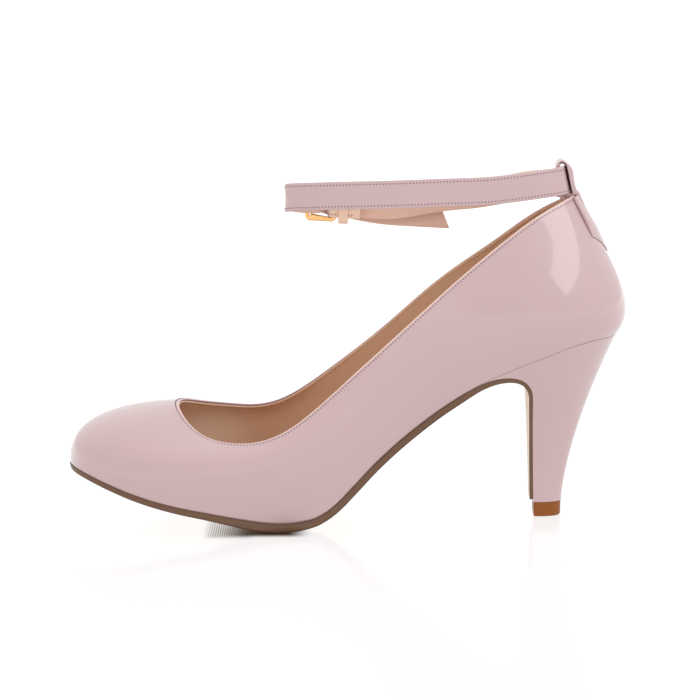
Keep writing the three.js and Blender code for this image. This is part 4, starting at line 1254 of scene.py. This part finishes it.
def rounded_rectangle(width, height, radius, per_corner=8):
    """The outline of a rectangle with round corners, as pairs along and across."""
    a, b = width / 2 - radius, height / 2 - radius
    pairs = []
    for (cx, cy), start in (((a, -b), -0.25), ((a, b), 0), ((-a, b), 0.25), ((-a, -b), 0.5)):
        turns = np.linspace(start, start + 0.25, per_corner + 1) * TURN
        pairs.append(np.stack([cx + radius * np.cos(turns), cy + radius * np.sin(turns)], -1))
    return np.concatenate(pairs)


def buckle_frame():
    """The buckle's frame: a soft section round its outline, broader inwards on the rails' front halves."""
    outline = rounded_rectangle(2 * HALF_BUCKLE, FRAME_HEIGHT - FRAME_RAIL, 1.4, per_corner=10)
    path = buckled(outline[:, 0], 0, outline[:, 1])
    on_rail = np.abs(ring_tangents(path) @ BUCKLE_ALONG)
    broader = 1.3 * on_rail * np.clip((0.25 * HALF_BUCKLE - outline[:, 0]) / 1.2, 0, 1)
    section = np.tile(soft_section(FRAME_RAIL * 0.96, FRAME_DEPTH, 0.4, per_face=3), (len(path), 1, 1))
    section[..., 0] += broader[:, None] * (section[..., 0] > 0)
    return carried_round(path, BUCKLE_OUT, section)


def buckle_prong():
    """The prong: a round wire from its eye round the back bar over to the front bar, thinner to its end."""
    half = HALF_BUCKLE
    eye = 0.7 * FRAME_DEPTH + GAP + PRONG_RADIUS
    rest = FRAME_DEPTH / 2 + GAP + PRONG_RADIUS
    rows = np.array([
        (half + eye, 0), (half + eye * 0.7, -eye * 0.75), (half, -eye * 1.05),
        (half - eye * 0.75, -eye * 0.75),
        (half - eye * 1.15, 0.3), (half - eye * 1.5, rest * 0.95), (0, rest * 1.35),
        (-half, rest * 1.12), (-half - FRAME_DEPTH * 0.6, rest * 0.98)])
    path = smooth_path(buckled(rows[:, 0], rows[:, 1]), 0.2)
    turns = np.linspace(0, TURN, 16, endpoint=False)
    radius = PRONG_RADIUS * (1 - 0.25 * np.clip((np.linspace(0, 1, len(path)) - 0.55) / 0.45, 0, 1))
    radius[-4:] *= np.sqrt(1 - (np.arange(4) / 4) ** 2)
    radius[:3] *= np.sqrt(1 - (np.arange(3)[::-1] / 3 * 0.9 + 0.05) ** 2)
    circle = np.stack([np.cos(turns), np.sin(turns)], -1)
    return capped_tube(carried(path, circle, BUCKLE_ACROSS, deepening=radius, widening=radius))


# Operators

class PUMP_OT_upper(bpy.types.Operator):
    """Builds the patent cover of the upper"""

    bl_idname = "pump.upper"
    bl_label = "Upper"

    def execute(self, context):
        points, raw, seam = upper_cover()
        make_piece("upper_cover", *wrapped(points), blush(), "patent", "upper", raw=raw, seam=seam)
        return {"FINISHED"}


class PUMP_OT_lining(bpy.types.Operator):
    """Builds the lining of the upper"""

    bl_idname = "pump.lining"
    bl_label = "Lining"

    def execute(self, context):
        material = coloured(lining, "tan lining", "lining", "lining_painted_light")
        make_piece("upper_lining", *wrapped(upper_lining()), material, "footbed")
        return {"FINISHED"}


class PUMP_OT_stitches(bpy.types.Operator):
    """Sews the topline and the strap"""

    bl_idname = "pump.stitches"
    bl_label = "Stitches"

    def execute(self, context):
        # The outside thread's dark colour holds painted shade of the stitch holes.
        outside = coloured(thread, "blush thread", "thread")
        inside = coloured(thread, "tan thread", "lining_thread")
        make_piece("topline_stitches", *topline_stitches(-0.02), outside, "patent")
        make_piece("lining_stitches", *topline_stitches(-WALL + 0.1), inside, "patent")
        make_piece("strap_stitches", *strap_stitches(), outside, "strap_patent")
        return {"FINISHED"}


class PUMP_OT_footbed(bpy.types.Operator):
    """Builds the footbed inside the upper"""

    bl_idname = "pump.footbed"
    bl_label = "Footbed"

    def execute(self, context):
        material = coloured(lining, "footbed sock", "footbed")
        make_piece("footbed", *wrapped(footbed_points()), material, "footbed", "insole")
        return {"FINISHED"}


class PUMP_OT_sole(bpy.types.Operator):
    """Builds the sole with its breast flap"""

    bl_idname = "pump.sole"
    bl_label = "Sole"

    def execute(self, context):
        points, quads, edge, depth = outsole_points()
        material = coloured(sole_leather, "sole leather", "sole_edge", "sole_face")
        make_piece("sole", points, quads, material, "sole_leather", "outsole", edge=edge, depth=depth)
        return {"FINISHED"}


class PUMP_OT_heel(bpy.types.Operator):
    """Builds the covered heel and its top piece"""

    bl_idname = "pump.heel"
    bl_label = "Heel"

    def execute(self, context):
        bevel(make_piece("heel_cover", *wrapped(heel_points()), blush(), "heel_cover", "heel"), 0.35)
        material = coloured(tip_stack, "top piece", "tip")
        make_piece("heel_tip", *capped_tube(top_piece_points()), material, "tip", "top_piece")
        return {"FINISHED"}


class PUMP_OT_backstay(bpy.types.Operator):
    """Builds the backstay and the loop that runs on from it"""

    bl_idname = "pump.backstay"
    bl_label = "Backstay"

    def execute(self, context):
        top = BACKSTAY_THICKNESS + GAP
        layers = (0, 0.42, 0.5, BACKSTAY_THICKNESS * 0.6, top - 0.15, top)
        sheets = np.stack([backstay_sheet(out) for out in layers])
        # The two lowest sheets, along the join with the upper, are darkened as painted shadow of the gap.
        shade = np.zeros(sheets.shape[:3])
        shade[:2] = 1
        middle = sheets[-1].mean(axis=(0, 1))
        sheets[-1] = middle + (sheets[-1] - middle) * 0.985
        make_piece("backstay_shield", *slab_from(sheets), blush(), "patent", "backstay", seam=shade)
        path = loop_line()
        section = soft_section(LOOP_WIDTH, LOOP_THICKNESS, 0.45)
        loop = carried(path, section, (0, 1, 0), deepening=loop_thickness(path) / LOOP_THICKNESS)
        make_piece("back_loop", *capped_tube(loop), blush(), "patent")
        plies = (
            # A dark strip put in the slot between strap and loop as painted shade.
            ("loop_fold", loop_slot_shade_line(), LOOP_WIDTH + 0.06, LOOP_SLOT, hollow()),
            ("loop_foot", loop_foot_line(), LOOP_WIDTH - 2, 2.0, blush()),
            ("loop_lining", loop_lining_line(), LOOP_WIDTH - 0.02, 1.4, blush()),
        )
        for name, path, width, thickness, material in plies:
            section = soft_section(width, thickness, thickness * 0.3)
            make_piece(name, *capped_tube(carried(path, section, (0, 1, 0))), material, "patent")
        return {"FINISHED"}


class PUMP_OT_strap(bpy.types.Operator):
    """Builds the ankle strap in two plies"""

    bl_idname = "pump.strap"
    bl_label = "Ankle strap"

    def execute(self, context):
        path = strap_line()
        ways = {"across": strap_across(path), "slant": TAIL_SLANT, "widening": narrowing(path)}
        ply = STRAP_THICKNESS * 0.6
        inner = STRAP_THICKNESS - ply - 0.02
        face = soft_section(STRAP_WIDTH, ply, 0.35)
        face[:, 1] += STRAP_FACE * (STRAP_THICKNESS - ply) / 2
        back = soft_section(STRAP_WIDTH - 0.2, inner, 0.2)
        back[:, 1] -= STRAP_FACE * (STRAP_THICKNESS - inner) / 2
        points, quads = capped_tube(carried(path, face, **ways))
        raw = folded_end(points)
        make_piece("strap_face", points, quads, blush(), "strap_patent", "ankle_strap", raw=raw)
        material = coloured(lining, "strap back", "strap_back")
        make_piece("strap_back", *capped_tube(carried(path, back, **ways)), material, "strap_patent")
        make_piece("strap_holes", *holes(path), hollow(), "strap_patent")
        return {"FINISHED"}


class PUMP_OT_keeper(bpy.types.Operator):
    """Builds the strap's keeper"""

    bl_idname = "pump.keeper"
    bl_label = "Keeper"

    def execute(self, context):
        along = HALF_BUCKLE - (BACK_BAR_POINT[0] - LOOP_X + KEEPER_REACH * STRAP_REACH)
        inner = -BAR_GAP - STRAP_THICKNESS / 2 - GAP
        outer = BAR_GAP + 1.5 * STRAP_THICKNESS + 3 * GAP
        height = STRAP_WIDTH + 8 * GAP
        outline = rounded_rectangle(outer - inner + KEEPER_THICKNESS, height + KEEPER_THICKNESS, 1.2)
        path = buckled(along, (inner + outer) / 2 + outline[:, 0], outline[:, 1])
        section = soft_section(KEEPER_LENGTH, KEEPER_THICKNESS, 0.3, per_face=5)[:, ::-1]
        rings = carried_round(path, BUCKLE_ALONG, section)
        raw = (rings - BUCKLE_MIDDLE) @ BUCKLE_OUT < inner + 0.8
        make_piece("keeper", *wrapped(rings), blush(), "strap_patent", "strap_keeper", raw=raw)
        return {"FINISHED"}


class PUMP_OT_buckle(bpy.types.Operator):
    """Builds the buckle's frame and prong"""

    bl_idname = "pump.buckle"
    bl_label = "Buckle"

    def execute(self, context):
        material = coloured(gilt, "gilt metal", "metal")
        make_piece("buckle_ring", *wrapped(buckle_frame()), material, "buckle_metal", "buckle_frame")
        make_piece("buckle_pin", *buckle_prong(), material, "buckle_metal", "buckle_prong")
        return {"FINISHED"}


def area_light(name, place, target, size, power, tint=(1, 1, 1)):
    """A rectangular soft light that faces a point; all in metres."""
    light = bpy.data.lights.new(name, "AREA")
    light.shape = "RECTANGLE"
    light.size, light.size_y = size
    light.energy = power
    light.color = tint
    lamp = bpy.data.objects.new(name, light)
    lamp.location = place
    lamp.rotation_euler = (Vector(target) - Vector(place)).to_track_quat("-Z", "Y").to_euler()
    bpy.context.collection.objects.link(lamp)
    return lamp


CAMERA_PLACE = (-0.0817, -1.0805, 0.2754)
CAMERA_TILT = 79.2
CAMERA_LENS = 137.6
FLOOR_REACH = 6
WINDOW_TURN = -60.9


class PUMP_OT_stage(bpy.types.Operator):
    """Sets the camera, floor and lights"""

    bl_idname = "pump.stage"
    bl_label = "Stage"

    def execute(self, context):
        scene = context.scene
        settings = scene.pump_stage
        camera = bpy.data.cameras.new("camera")
        camera.lens = CAMERA_LENS
        camera.sensor_width = 36
        view = bpy.data.objects.new("camera", camera)
        view.location = CAMERA_PLACE
        view.rotation_euler = (math.radians(CAMERA_TILT), 0, 0)
        bpy.context.collection.objects.link(view)
        scene.camera = view
        reach = np.linspace(-FLOOR_REACH, FLOOR_REACH, 3)
        x, y = np.meshgrid(reach, reach)
        corners = stack(x, y, 0).reshape(-1, 3)
        mesh = bpy.data.meshes.new("floor")
        mesh.from_pydata(corners.tolist(), [], grid_faces(3, 3).tolist())
        mesh.materials.append(coloured(studio_floor, "studio floor", "floor", "floor_shade"))
        floor = bpy.data.objects.new("floor", mesh)
        bpy.context.collection.objects.link(floor)
        world = bpy.data.worlds.new("surround")
        world.use_nodes = True
        background = world.node_tree.nodes["Background"]
        background.inputs["Color"].default_value = (1, 1, 1, 1)
        background.inputs["Strength"].default_value = settings.daylight
        scene.world = world
        scene.view_settings.view_transform = "Standard"
        window = area_light(
            "window", (0.52, -0.589, 0.58), (0.005, -0.02, 0.11), (0.22, 0.958), settings.window,
            tint=(0.93, 1, 1.03))
        window.rotation_euler.rotate_axis("Z", math.radians(WINDOW_TURN))
        overhead = area_light("overhead", (-0.2, 0.1, 1.4), (-0.1, 0, 0), (0.9, 0.9), settings.top)
        overhead.visible_glossy = False
        return {"FINISHED"}


OPERATORS = (
    PUMP_OT_upper, PUMP_OT_lining, PUMP_OT_footbed, PUMP_OT_sole, PUMP_OT_heel, PUMP_OT_backstay,
    PUMP_OT_strap, PUMP_OT_keeper, PUMP_OT_buckle, PUMP_OT_stitches, PUMP_OT_stage,
)


class PUMP_PT_panel(bpy.types.Panel):
    """Lists the pieces and what a user would change"""

    bl_idname = "PUMP_PT_panel"
    bl_label = "Buckle pump"
    bl_space_type = "VIEW_3D"
    bl_region_type = "UI"
    bl_category = "Buckle pump"

    def draw(self, context):
        for operator in OPERATORS:
            self.layout.operator(operator.bl_idname)
        for group in (context.scene.pump_sizes, context.scene.pump_colours, context.scene.pump_stage):
            box = self.layout.box()
            for key in group.__annotations__:
                box.prop(group, key)


CLASSES = (PumpSizes, PumpColours, StageSettings, *OPERATORS, PUMP_PT_panel)


def register():
    for each in CLASSES:
        bpy.utils.register_class(each)
    bpy.types.Scene.pump_sizes = bpy.props.PointerProperty(type=PumpSizes)
    bpy.types.Scene.pump_colours = bpy.props.PointerProperty(type=PumpColours)
    bpy.types.Scene.pump_stage = bpy.props.PointerProperty(type=StageSettings)


def unregister():
    for key in ("pump_sizes", "pump_colours", "pump_stage"):
        delattr(bpy.types.Scene, key)
    for each in reversed(CLASSES):
        bpy.utils.unregister_class(each)


def main():
    register()
    for operator in OPERATORS:
        group, name = operator.bl_idname.split(".")
        getattr(getattr(bpy.ops, group), name)()


if __name__ == "__main__":
    main()
